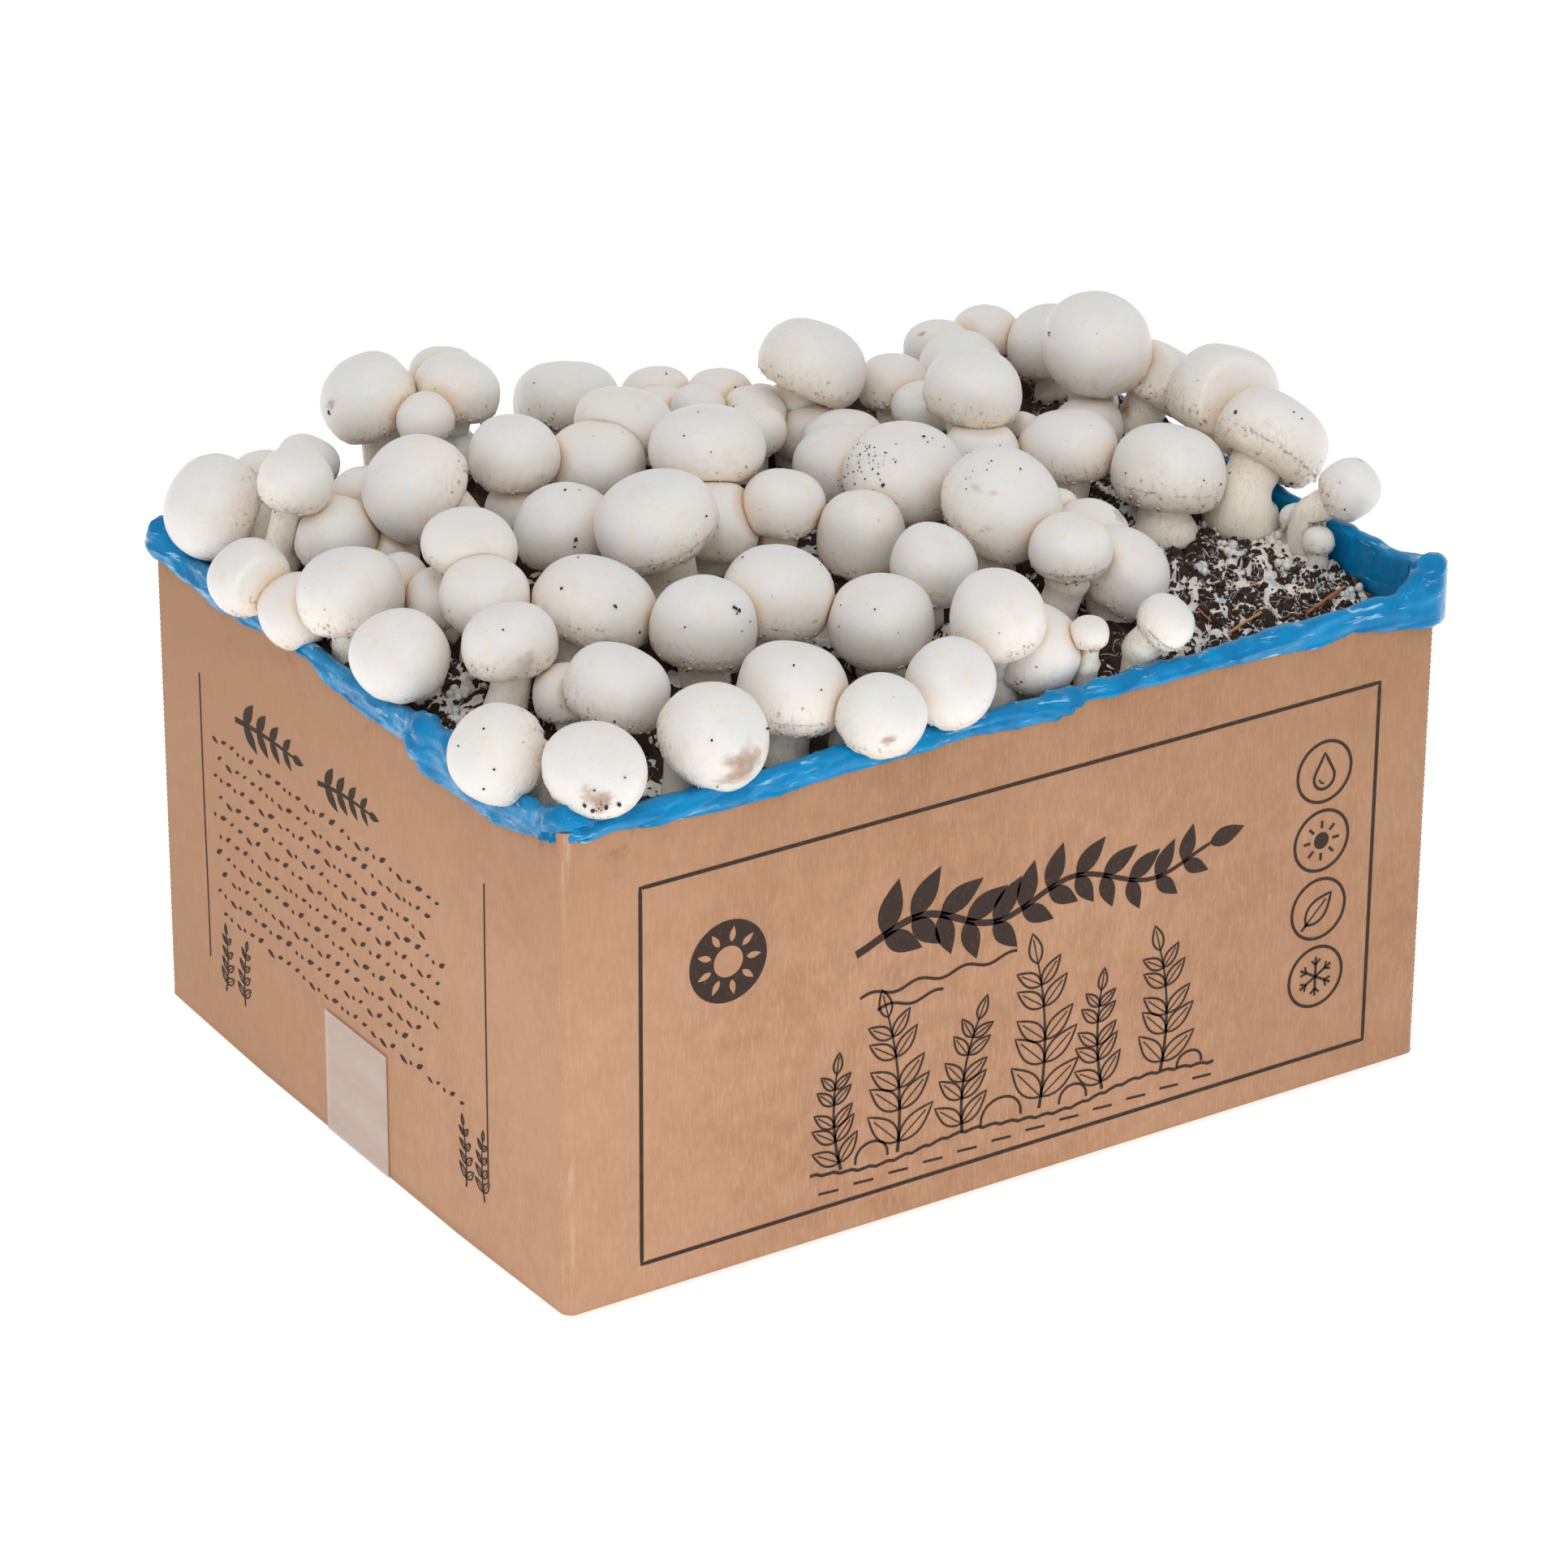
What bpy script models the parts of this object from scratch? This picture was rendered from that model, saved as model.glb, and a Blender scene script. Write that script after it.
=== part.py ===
"""Button mushroom grow kit: a carton with a film liner, a bed of soil and the mushrooms that grow on it."""

import math
import random

import bpy
import numpy as np
from mathutils import Vector
from mathutils.bvhtree import BVHTree

# Lengths are in millimetres until a mesh is made
MM = 0.001
GAP = 0.35
ROOT_GAP = 0.7

# Carton
CARTON_LONG = 400.0
CARTON_SHORT = 315.2
CARTON_HIGH = 203.0
BOARD = 4.0
CORNER = 4.0
INNER_CORNER = 1.5
CARTON_STEPS = 4
FLOOR_TOP = 8.0
EDGE_LIFT = 2.6
SAG_SHARE = 0.5
SAG_LONG_SHARE = 0.99
CUT_BELOW = -20.0
SEAM_WIDE = 2.0
SEAM_DEEP = 4.0

# Tape under the carton
TAPE_WIDE = 48.0
TAPE_THICK = 0.4
TAPE_UP = 53.0
TAPE_ROOM = 0.7

# Liner
FILM = 0.9
FRONT_STEPS = 10
SIDE_STEPS = 7
CREST_INSET = 2.0
FOLD_LOOSE = 1.2

# Top of the liner, and lower edge of the part that is folded over, at equal steps along each side,
# always from left to right as someone who stands in front of that side sees them
LINER_TOP = {
    "front": (208, 206, 206, 207, 206, 205, 205, 206, 206, 208, 210),
    "right": (213, 213, 213, 214, 215, 214, 211, 208),
    "back": (208, 207, 206, 206, 207, 206, 206, 207, 208, 208, 210),
    "left": (211, 207, 206, 205, 205, 206, 206, 208),
}
FOLD_EDGE = {
    "front": (195, 197, 196, 198, 198, 196, 200, 199, 197, 198, 194),
    "right": (193, 191, 190, 193, 196, 198, 196, 194),
    "back": (196, 197, 199, 198, 196, 195, 197, 198, 198, 197, 196),
    "left": (200, 195, 199, 198, 195, 190, 190, 194),
}

# Soil: it lies low at the front, where it has been watered away, and mounds up behind
SOIL_LOW = 187.0
SOIL_RISE = 22.0
SOIL_SLOPE_AT = -95.0
SOIL_SLOPE_RUN = 22.0
SOIL_CORNER_DIP = 8.0
SOIL_CORNER_AT = -165.0
SOIL_CORNER_RUN = 14.0
SOIL_BACK_DIP = 4.0
SOIL_BACK_AT = 140.0
SOIL_BACK_RUN = 10.0
LUMP_AT = (195.0, 35.0)
LUMP_HIGH = 8.0
LUMP_RUN = (25.0, 35.0)
SOIL_RINGS = (0.84, 0.62, 0.35)

# Pinheads: x, y and width
PINHEAD_SIDES = 5
PINHEADS = (
    (-169, -34, 9),
    (-160, -29, 7),
    (-179, -46, 8),
    (30, -140, 7),
    (127, -70, 8),
    (150, -128, 6),
)

# Mushrooms. A cap's outline is made of rings, each with its radius and its height as shares of the cap's
FINE_RINGS = ((0.56, 0.84), (0.92, 0.42), (1.0, -0.1), (0.82, -0.62))
PLAIN_RINGS = ((0.7, 0.72), (1.0, 0.05), (0.82, -0.6))
FINE_SIDES = 9
PLAIN_SIDES = 6
STEM_TOP_HEIGHT = -0.62
STEM_SHARE = 0.42
STEM_YOUNG = 0.008
MOST_LEAN = 38.0
WAVY = 0.02

# Room for the roots inside the liner, and for a cap that hangs over its rim
ROOM_X = CARTON_LONG / 2 - BOARD - 2 * GAP - FILM
ROOM_Y = CARTON_SHORT / 2 - BOARD - 2 * GAP - FILM
ROOT_MARGIN = 0.5
WALL_MARGIN = 0.1
RIM_REACH = 4.0
RIM_WIDE = 2.0
KNEE_ABOVE = 1.5
STEM_TOP_ABOVE = 3.0

# Every cap: x, y and z of its middle, width, height, then how far to the right and to the back its root lies.
# A name with several caps is a cluster that has grown together
PLANTS = {
    # Left side, from the back corner to the front one
    "mushroom_01": ((-188, 129, 225, 43, 35, 16, -5),),
    "cluster_02": ((-156, 147, 226, 23, 19, 1, -4), (-141, 136, 232, 26, 20, -9, 5)),
    "mushroom_03": ((-172, 88, 248, 30, 24, -2, 12),),
    "mushroom_05": ((-206, 68, 222, 34, 27, 20, 0),),
    "mushroom_06": ((-197, 47, 217, 32, 24, 12, 0),),
    "mushroom_07": ((-187, 21, 229, 41, 32, 1, 0),),
    "cluster_08": (
        (-160, 80, 225, 34, 28, 2, 2),
        (-137, 93, 231, 31, 24, -5, -3),
        (-141, 69, 218, 23, 18, -4, 2),
    ),
    "mushroom_20": ((-195, -32, 225, 37, 30, 12, 8),),
    "mushroom_70": ((-164, -60, 233, 36, 29, -3, 0),),
    "mushroom_75": ((-201, -115, 219, 41, 33, 17, 0),),
    "mushroom_74": ((-182, -151, 221, 38, 31, 1, 10),),
    # Behind on the left
    "mushroom_09": ((-109, 143, 250, 40, 32, 8, -1),),
    "mushroom_10": ((-133, 64, 244, 44, 36, 20, -8),),
    "cluster_11": (
        (-77, 128, 252, 35, 26, -8, 4),
        (-75, 147, 250, 28, 21, -6, -6),
        (-98, 116, 248, 24, 19, 10, 6),
        (-82, 131, 225, 31, 23, 0, 0),
    ),
    "cluster_15": ((-86, 68, 247, 37, 29, 2, 3), (-86, 65, 225, 27, 22, 0, 2)),
    "cluster_16": (
        (-145, 1, 248, 38, 24, 1, 6),
        (-162, 31, 224, 26, 20, 6, -7),
        (-154, 9, 224, 26, 20, 0, 6),
        (-153, -23, 236, 35, 27, 4, 9),
    ),
    "mushroom_21": ((-19, 139, 231, 45, 32, -3, -6),),
    # Behind in the middle
    "cluster_22": (
        (17, 128, 230, 30, 21, 0, -4),
        (6, 108, 231, 25, 19, 2, 2),
        (14, 91, 237, 23, 17, 0, 4),
        (34, 105, 233, 28, 22, -2, 0),
        (35, 82, 234, 27, 18, -4, 4),
        (23, 64, 235, 26, 20, 2, 5),
        (52, 100, 229, 18, 13, -6, 0),
    ),
    "cluster_26": ((-34, 69, 249, 39, 24, -3, 4), (-54, 58, 241, 38, 28, 8, 6)),
    "cluster_28": ((-23, 25, 251, 47, 31, -3, -3), (-35, 2, 231, 38, 30, 0, 4)),
    "mushroom_29": ((-90, 23, 233, 39, 31, 3, 4),),
    "cluster_34": ((62, 79, 249, 48, 29, -8, -4), (57, 72, 223, 33, 26, -2, 0)),
    "cluster_36": ((53, 43, 228, 36, 29, 0, 0), (35, 19, 233, 38, 29, 2, 2)),
    "cluster_35": ((97, 74, 233, 29, 22, 0, -4), (97, 51, 233, 26, 19, 0, 5)),
    "cluster_42": (
        (139, 103, 233, 28, 22, 2, -4),
        (163, 103, 233, 29, 23, -4, -4),
        (134, 79, 233, 35, 28, 3, 3),
    ),
    "cluster_40": (
        (98, 18, 252, 39, 31, 5, -1),
        (92, 3, 231, 32, 26, 4, 6),
        (122, 14, 231, 17, 13, -14, 0),
    ),
    "mushroom_48": ((159, 23, 221, 29, 23, 0, -2),),
    "mushroom_49": ((168, 31, 253, 46, 37, 9, 14),),
    "mushroom_50": ((179, 80, 233, 36, 29, 4, 0),),
    "mushroom_52": ((197, 20, 236, 30, 24, -11, 3),),
    # Middle
    "mushroom_30": ((-70, -13, 244, 46, 35, 6, 0),),
    "mushroom_32": ((-11, -11, 237, 33, 26, -2, 3),),
    "mushroom_38": ((10, -34, 229, 39, 32, 2, 2),),
    "mushroom_37": ((42, -16, 240, 48, 34, 2, 4),),
    "mushroom_39": ((15, -78, 230, 34, 27, 0, 8),),
    "mushroom_46": ((57, -61, 240, 50, 40, 0, 7),),
    "mushroom_47": ((124, -13, 232, 41, 29, -3, -1),),
    "mushroom_51": ((146, -50, 230, 46, 37, -4, -5),),
    "mushroom_53": ((199, -18, 243, 43, 33, -13, 1),),
    "mushroom_54": ((195, -53, 234, 47, 33, -19, -6),),
    "cluster_55": (
        (198, -101, 228, 27, 21, -13, 0),
        (187, -108, 208, 13, 11, -2, 2),
        (186, -96, 205, 11, 9, 0, 0),
        (185, -88, 208, 12, 9, 0, -1),
    ),
    "cluster_58": ((94, -71, 223, 30, 24, 0, 4), (92, -50, 227, 18, 14, 1, -3)),
    "mushroom_56": ((65, -98, 233, 32, 25, -3, 7),),
    # Front on the left
    "mushroom_67": ((-49, -66, 228, 45, 36, -3, 1),),
    "mushroom_68": ((-86, -73, 227, 40, 32, 1, 2),),
    "mushroom_69": ((-116, -42, 231, 48, 33, -4, -1),),
    "cluster_71": ((-142, -100, 225, 40, 31, -4, 2), (-149, -76, 215, 26, 20, 2, -3)),
    "mushroom_66": ((-84, -130, 222, 43, 35, -4, 1),),
    "mushroom_73": ((-130, -147, 221, 43, 35, -3, 10),),
    "mushroom_65": ((-64, -161, 219, 34, 28, 0, 20),),
    # Front on the right
    "mushroom_63": ((-29, -155, 221, 35, 28, 0, 14),),
    "mushroom_62": ((-22, -97, 222, 41, 33, 3, 5),),
    "cluster_61": ((5, -135, 233, 38, 31, 4, 6), (26, -131, 216, 36, 29, -4, 4)),
    "mushroom_57": ((91, -98, 216, 38, 30, -3, 4),),
    "mushroom_59": ((72, -150, 221, 26, 20, -6, 6),),
    "mushroom_60": ((41, -145, 221, 16, 12, 0, 2),),
}
FINE_FROM = 36

# Two mushrooms that would run into each other are pressed flat against one another
PRESS_SWEEPS = 40
PRESS_TURN = 15
FAR_APART = 110.0


for leftover in list(bpy.data.objects):
    bpy.data.objects.remove(leftover)


def material(name, colour, roughness, alpha=1.0):
    made = bpy.data.materials.new(name)
    made.use_nodes = True
    shader = made.node_tree.nodes["Principled BSDF"]
    shader.inputs["Base Color"].default_value = (*colour, 1.0)
    shader.inputs["Roughness"].default_value = roughness
    shader.inputs["Alpha"].default_value = alpha
    return made


def solid(name, points, faces, look, smooth=False, helper=False):
    mesh = bpy.data.meshes.new(name)
    mesh.from_pydata([tuple(value * MM for value in point) for point in points], [], faces)
    mesh.materials.append(look)
    for polygon in mesh.polygons:
        polygon.use_smooth = smooth
    made = bpy.data.objects.new(name, mesh)
    bpy.context.scene.collection.objects.link(made)
    if helper:
        made.hide_render = True
        made.display_type = "WIRE"
    return made


def boolean(target, other, operation):
    modifier = target.modifiers.new(other.name, "BOOLEAN")
    modifier.operation = operation
    modifier.solver = "EXACT"
    modifier.object = other


def loft_faces(ring_count, sides):
    """Faces of a closed form: rings of points from its first end to its last, then the two end points."""
    faces = []
    for ring in range(ring_count - 1):
        for side in range(sides):
            after = (side + 1) % sides
            lower, upper = ring * sides, (ring + 1) * sides
            faces.append((lower + side, lower + after, upper + after, upper + side))
    first_end = ring_count * sides
    last_ring = (ring_count - 1) * sides
    for side in range(sides):
        after = (side + 1) % sides
        faces.append((first_end, after, side))
        faces.append((first_end + 1, last_ring + side, last_ring + after))
    return faces


def loft(name, rings, first, last, look, smooth=False):
    points = [point for ring in rings for point in ring] + [first, last]
    faces = []
    for corner, *others in loft_faces(len(rings), len(rings[0])):
        faces += [(corner, others[place], others[place + 1]) for place in range(len(others) - 1)]
    return solid(name, points, faces, look, smooth)


def outline(inset, corner=CORNER, front_steps=FRONT_STEPS, side_steps=SIDE_STEPS):
    """Points round a rectangle with round corners, this far inside the carton's outer face."""
    half_x = CARTON_LONG / 2 - inset
    half_y = CARTON_SHORT / 2 - inset
    bend = corner * math.sqrt(0.5)
    points = []
    for quarter in range(4):
        along_x, along_y = ((1, 0), (0, 1), (-1, 0), (0, -1))[quarter]
        out_x, out_y = along_y, -along_x
        is_front = quarter % 2 == 0
        flat = (half_x if is_front else half_y) - corner
        far = half_y if is_front else half_x
        steps = front_steps if is_front else side_steps
        for step in range(steps + 1):
            place = flat * (2 * step / steps - 1)
            points.append((along_x * place + out_x * far, along_y * place + out_y * far))
        corner_along = flat + bend
        corner_out = far - corner + bend
        points.append(
            (along_x * corner_along + out_x * corner_out, along_y * corner_along + out_y * corner_out)
        )
    return points


def round_the_rim(sides):
    """A height for each point of the outline, with each corner's between those of its two sides."""
    heights = []
    names = ("front", "right", "back", "left")
    for number, name in enumerate(names):
        following = sides[names[(number + 1) % 4]]
        heights.extend(sides[name])
        heights.append((sides[name][-1] + following[0]) / 2)
    return heights


def at_heights(points, heights):
    return [(x, y, z) for (x, y), z in zip(points, heights)]


def at_height(points, height):
    return [(x, y, height) for x, y in points]


def make_carton():
    board = material("kraft_board", (0.50, 0.29, 0.155), 0.85)
    outer = outline(0, CORNER, CARTON_STEPS, CARTON_STEPS)
    inner = outline(BOARD, INNER_CORNER, CARTON_STEPS, CARTON_STEPS)
    bottom = [(x * SAG_LONG_SHARE, y * SAG_SHARE, 0.0) for x, y in outer]
    edge = [(x, y, EDGE_LIFT * (y / (CARTON_SHORT / 2)) ** 2) for x, y in outer]
    rings = [
        bottom,
        edge,
        at_height(outer, CARTON_HIGH),
        at_height(inner, CARTON_HIGH),
        at_height(inner, FLOOR_TOP),
    ]
    carton = loft("carton", rings, (0, 0, 0), (0, 0, FLOOR_TOP), board)
    room_half = (CARTON_LONG / 2 + 10, TAPE_WIDE / 2 + 1)
    room = block("tape_room", room_half, (CUT_BELOW, TAPE_ROOM), board)
    seam_half = (CARTON_LONG / 2 - BOARD * 2, SEAM_WIDE / 2)
    seam = block("seam_cutter", seam_half, (CUT_BELOW, SEAM_DEEP), board)
    boolean(carton, room, "DIFFERENCE")
    boolean(carton, seam, "DIFFERENCE")


def block(name, half, heights, look):
    """A cutter in the form of a plain block."""
    half_x, half_y = half
    corners = [(-half_x, -half_y), (half_x, -half_y), (half_x, half_y), (-half_x, half_y)]
    points = [(x, y, z) for z in heights for x, y in corners]
    faces = [(3, 2, 1, 0), (4, 5, 6, 7)]
    faces += [(side, (side + 1) % 4, (side + 1) % 4 + 4, side + 4) for side in range(4)]
    return solid(name, points, faces, look, helper=True)


def make_tape():
    look = material("clear_tape", (0.72, 0.58, 0.40), 0.25, 0.6)
    inside = CARTON_LONG / 2 + GAP
    outside = inside + TAPE_THICK
    half = [(outside, TAPE_UP), (outside, 0.0)]
    half_back = [(inside, TAPE_THICK), (inside, TAPE_UP)]
    profile = half + [(-x, z) for x, z in reversed(half)]
    profile += [(-x, z) for x, z in reversed(half_back)] + half_back
    count = len(profile)
    points = [(x, y, z) for y in (-TAPE_WIDE / 2, TAPE_WIDE / 2) for x, z in profile]
    faces = [
        ((side + 1) % count, (side + 1) % count + count, side + count, side) for side in range(count)
    ]
    # Each end of the profile is three strips: right, bottom and left
    for strip in ((0, 1, 6, 7), (1, 2, 5, 6), (2, 3, 4, 5)):
        faces.append(tuple(reversed(strip)))
        faces.append(tuple(corner + count for corner in strip))
    solid("tape", points, faces, look)


def make_liner():
    film = material("blue_film", (0.02, 0.22, 0.52), 0.25)
    top = round_the_rim(LINER_TOP)
    low = round_the_rim(FOLD_EDGE)
    shaker = random.Random(7)
    puff = [shaker.uniform(0.2, 1.6) for _ in top]
    inside = BOARD + GAP + FILM
    under = CARTON_HIGH + GAP
    outer = outline(-GAP - FILM)
    loose = outline(-GAP - FILM - FOLD_LOOSE)
    mid = [
        (x + (far_x - x) * share, y + (far_y - y) * share)
        for (x, y), (far_x, far_y), share in zip(outer, loose, puff)
    ]
    floor = FLOOR_TOP + GAP
    crest = outline(CREST_INSET)
    rings = [
        at_height(outline(BOARD + GAP, 1.5), floor),
        at_height(outline(BOARD + GAP, 1.5), under),
        at_heights(crest, [max(height - FILM, under + 0.4) for height in top]),
        at_height(outline(-GAP), under),
        at_heights(outline(-GAP), low),
        at_heights(outer, low),
        at_heights(mid, [height + 3.0 for height in low]),
        at_heights(mid, [max(height - 2.0, under) for height in top]),
        at_heights(crest, top),
        at_heights(outline(inside, 1.0), [max(height - 3.0, under) for height in top]),
        at_height(outline(inside, 1.0), floor + FILM),
    ]
    loft("liner", rings, (0, 0, floor), (0, 0, floor + FILM), film, smooth=True)


def soil_height(x, y):
    height = SOIL_LOW + SOIL_RISE / (1 + math.exp(-(y - SOIL_SLOPE_AT) / SOIL_SLOPE_RUN))
    height -= SOIL_CORNER_DIP / (1 + math.exp((x - SOIL_CORNER_AT) / SOIL_CORNER_RUN))
    height -= SOIL_BACK_DIP / (1 + math.exp(-(y - SOIL_BACK_AT) / SOIL_BACK_RUN))
    away_x = (x - LUMP_AT[0]) / LUMP_RUN[0]
    away_y = (y - LUMP_AT[1]) / LUMP_RUN[1]
    return height + LUMP_HIGH * math.exp(-(away_x**2) - away_y**2)


def make_soil():
    look = material("soil", (0.045, 0.028, 0.02), 0.95)
    inset = BOARD + 2 * GAP + FILM
    floor = FLOOR_TOP + 2 * GAP + FILM
    wall = outline(inset, 1.0)
    rings = [at_height(wall, floor), [(x, y, soil_height(x, y)) for x, y in wall]]
    for share in SOIL_RINGS:
        rings.append([(x * share, y * share, soil_height(x * share, y * share)) for x, y in wall])
    soil = loft("soil", rings, (0, 0, floor), (0, 0, soil_height(0, 0)), look, smooth=True)
    mesh = soil.data
    tree = BVHTree.FromPolygons(
        [point.co / MM for point in mesh.vertices], [tuple(face.vertices) for face in mesh.polygons]
    )
    return soil, tree, look


def ground(tree, x, y):
    """Height of the soil at this place."""
    hit = tree.ray_cast(Vector((x, y, 400.0)), Vector((0.0, 0.0, -1.0)))[0]
    return hit.z


def add_pinheads(soil, tree, look):
    for number, (x, y, width) in enumerate(PINHEADS):
        rings = []
        for share, rise in ((0.55, -0.5), (0.6, 0.25), (1.0, 0.5), (0.6, 0.95)):
            radius = width / 2 * share
            level = ground(tree, x, y) + width * rise
            rings.append(ring_round((x, y, level), (0, 0, 1), radius, PINHEAD_SIDES, 0))
        low, high = (x, y, rings[0][0][2]), (x, y, rings[-1][0][2] + 0.4)
        points = [point for ring in rings for point in ring] + [low, high]
        pin = solid(f"pinhead_{number + 1}", points, loft_faces(4, PINHEAD_SIDES), look, helper=True)
        boolean(soil, pin, "UNION")


def ring_round(centre, axis, radius, sides, turn, waves=None):
    """Points on a ring round an axis, seen from above anticlockwise."""
    up = Vector(axis).normalized()
    first = Vector((0, 1, 0)).cross(up).normalized()
    second = up.cross(first)
    points = []
    for side in range(sides):
        angle = 2 * math.pi * (side + turn) / sides
        reach = radius * (1 + (waves(angle) if waves else 0))
        offset = first * math.cos(angle) * reach + second * math.sin(angle) * reach
        points.append(tuple(Vector(centre) + offset))
    return points


class Growth:
    """One mushroom: its points, and its cap and stem as bodies that are kept apart from others."""

    def __init__(self, node, number, numbers, tree):
        x, y, z, across, depth, right, back = numbers
        self.node = node
        self.name = node if number == 0 else f"{node}_cap_{number + 1}"
        shaker = random.Random(f"{node} {number}")
        fine = across >= FINE_FROM
        sides = FINE_SIDES if fine else PLAIN_SIDES
        profile = FINE_RINGS if fine else PLAIN_RINGS
        grow = 1 / math.cos(math.pi / sides) ** 0.5
        phase = shaker.uniform(0, 6.28)
        turn = shaker.random()

        def waves(angle):
            return WAVY * math.sin(2 * angle + phase) + WAVY * 0.6 * math.sin(3 * angle + 2 * phase)

        stem = across / 2 * (STEM_SHARE + max(0, (FINE_FROM - across) * STEM_YOUNG))
        most_x = ROOM_X - stem - ROOT_MARGIN
        most_y = ROOM_Y - stem - ROOT_MARGIN
        root_x = min(max(x + right, -most_x), most_x)
        root_y = min(max(y + back, -most_y), most_y)
        bottom = ground(tree, root_x, root_y) + ROOT_GAP
        self.sill = rim_near(x, y, across / 2)
        centre = Vector((x, y, z))
        bend = Vector((root_x, root_y, bottom))
        if self.sill:
            bend.z = self.sill + KNEE_ABOVE
        axis = limited(centre - bend)
        rings = []
        for share, height in profile:
            middle = centre + axis * (depth / 2 * height)
            rings.append(ring_round(middle, axis, across / 2 * share * grow, sides, turn, waves))
        stem_top = centre + axis * (depth / 2 * STEM_TOP_HEIGHT)
        if self.sill:
            stem_top.z = max(stem_top.z, self.sill + STEM_TOP_ABOVE)
        rings.append(ring_round(stem_top, axis, stem * grow, sides, turn))
        if self.sill:
            rings.append(ring_round(tuple(bend), (0, 0, 1), stem * grow, sides, turn))
        rings.append(ring_round((root_x, root_y, bottom), (0, 0, 1), stem * grow, sides, turn))
        crown = tuple(centre + axis * (depth / 2))
        points = [point for ring in rings for point in ring] + [crown, (root_x, root_y, bottom)]
        self.points = np.array(points)
        self.sides = sides
        self.ring_count = len(rings)
        cap_rings = len(profile) + 1
        crown_index = len(points) - 2
        self.bodies = [list(range(cap_rings * sides)) + [crown_index]]
        for ring in range(cap_rings - 1, self.ring_count - 1):
            self.bodies.append(list(range(ring * sides, (ring + 2) * sides)))
        self.bounds = []
        if self.sill:
            above_rim = list(range((cap_rings + 1) * sides)) + [crown_index]
            self.bounds.append((above_rim, np.array((0.0, 0.0, -1.0)), -(self.sill + GAP)))
        inner = list(range((self.ring_count - (2 if self.sill else 1)) * sides, self.ring_count * sides))
        for way, room in (((1.0, 0.0, 0.0), ROOM_X), ((0.0, 1.0, 0.0), ROOM_Y)):
            self.bounds.append((inner, np.array(way), room - WALL_MARGIN))
            self.bounds.append((inner, -np.array(way), room - WALL_MARGIN))

    def settle(self):
        for _ in range(PRESS_SWEEPS):
            for body, direction, limit in self.bounds:
                over = self.points[body] @ direction - limit
                self.points[body] -= np.outer(np.maximum(over, 0), direction)

    def stand_on(self, tree):
        """Lays the root on the soil."""
        first = (self.ring_count - 1) * self.sides
        for index in [*range(first, first + self.sides), len(self.points) - 1]:
            x, y, _ = self.points[index]
            self.points[index, 2] = ground(tree, x, y) + ROOT_GAP

    def build(self, look):
        # The rings run from the crown down, so the faces are turned round
        faces = [tuple(reversed(face)) for face in loft_faces(self.ring_count, self.sides)]
        helper = self.name != self.node
        return solid(self.name, self.points.tolist(), faces, look, smooth=True, helper=helper)


def limited(axis):
    """The direction of an axis, with its lean from upright held to the most that is allowed."""
    flat = math.hypot(axis.x, axis.y)
    lean = math.atan2(flat, axis.z)
    if lean <= math.radians(MOST_LEAN) or flat == 0:
        return axis.normalized()
    lean = math.radians(MOST_LEAN)
    scale = math.sin(lean) / flat
    return Vector((axis.x * scale, axis.y * scale, math.cos(lean)))


def rim_near(x, y, reach):
    """Highest point of the liner within reach of this place, or None."""
    tops = round_the_rim(LINER_TOP)
    stations = outline(CREST_INSET)
    across_x = CARTON_LONG / 2 - BOARD - RIM_WIDE - abs(x)
    across_y = CARTON_SHORT / 2 - BOARD - RIM_WIDE - abs(y)
    if across_x > reach and across_y > reach:
        return None
    step = CARTON_LONG / FRONT_STEPS * 0.6 + RIM_REACH
    found = [
        top
        for (place_x, place_y), top in zip(stations, tops)
        if math.hypot(place_x - x, place_y - y) < reach + step
    ]
    return max(found) if found else None


def directions():
    found = []
    for high in range(-60, 61, PRESS_TURN):
        for round_by in range(0, 360, PRESS_TURN):
            level = math.cos(math.radians(high))
            turn = math.radians(round_by)
            found.append((level * math.cos(turn), level * math.sin(turn), math.sin(math.radians(high))))
    found.append((0.0, 0.0, 1.0))
    found.append((0.0, 0.0, -1.0))
    return np.array(found)


def press_apart(growths):
    """Finds the flat face along which each two touching bodies meet, then presses both back from it."""
    ways = directions()
    for number, first in enumerate(growths):
        for second in growths[number + 1 :]:
            if first.node == second.node:
                continue
            between = first.points[-2, :2] - second.points[-2, :2]
            if between @ between > FAR_APART**2:
                continue
            for first_body in first.bodies:
                for second_body in second.bodies:
                    reach = (first.points[first_body] @ ways.T).max(axis=0)
                    start = (second.points[second_body] @ ways.T).min(axis=0)
                    over = reach - start
                    best = over.argmin()
                    if over[best] + GAP <= 0:
                        continue
                    middle = (reach[best] + start[best]) / 2
                    way = ways[best]
                    first.bounds.append((first_body, way, middle - GAP / 2))
                    second.bounds.append((second_body, -way, -(middle + GAP / 2)))
    for growth in growths:
        growth.settle()


def make_mushrooms(tree):
    look = material("mushroom", (0.80, 0.75, 0.68), 0.55)
    growths = [
        Growth(node, number, numbers, tree)
        for node, caps in PLANTS.items()
        for number, numbers in enumerate(caps)
    ]
    press_apart(growths)
    made = {}
    for growth in growths:
        growth.stand_on(tree)
        grown = growth.build(look)
        if growth.name == growth.node:
            made[growth.node] = grown
        else:
            boolean(made[growth.node], grown, "UNION")


make_carton()
make_tape()
make_liner()
bed, bed_tree, bed_look = make_soil()
add_pinheads(bed, bed_tree, bed_look)
make_mushrooms(bed_tree)
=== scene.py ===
# Button mushroom grow kit: the finish of every surface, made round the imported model
# Lengths are in millimetres until a mesh is made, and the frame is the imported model's own
import bmesh
import bpy
import math
import random
import numpy as np
from mathutils import Matrix, Vector
from mathutils.bvhtree import BVHTree


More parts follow.
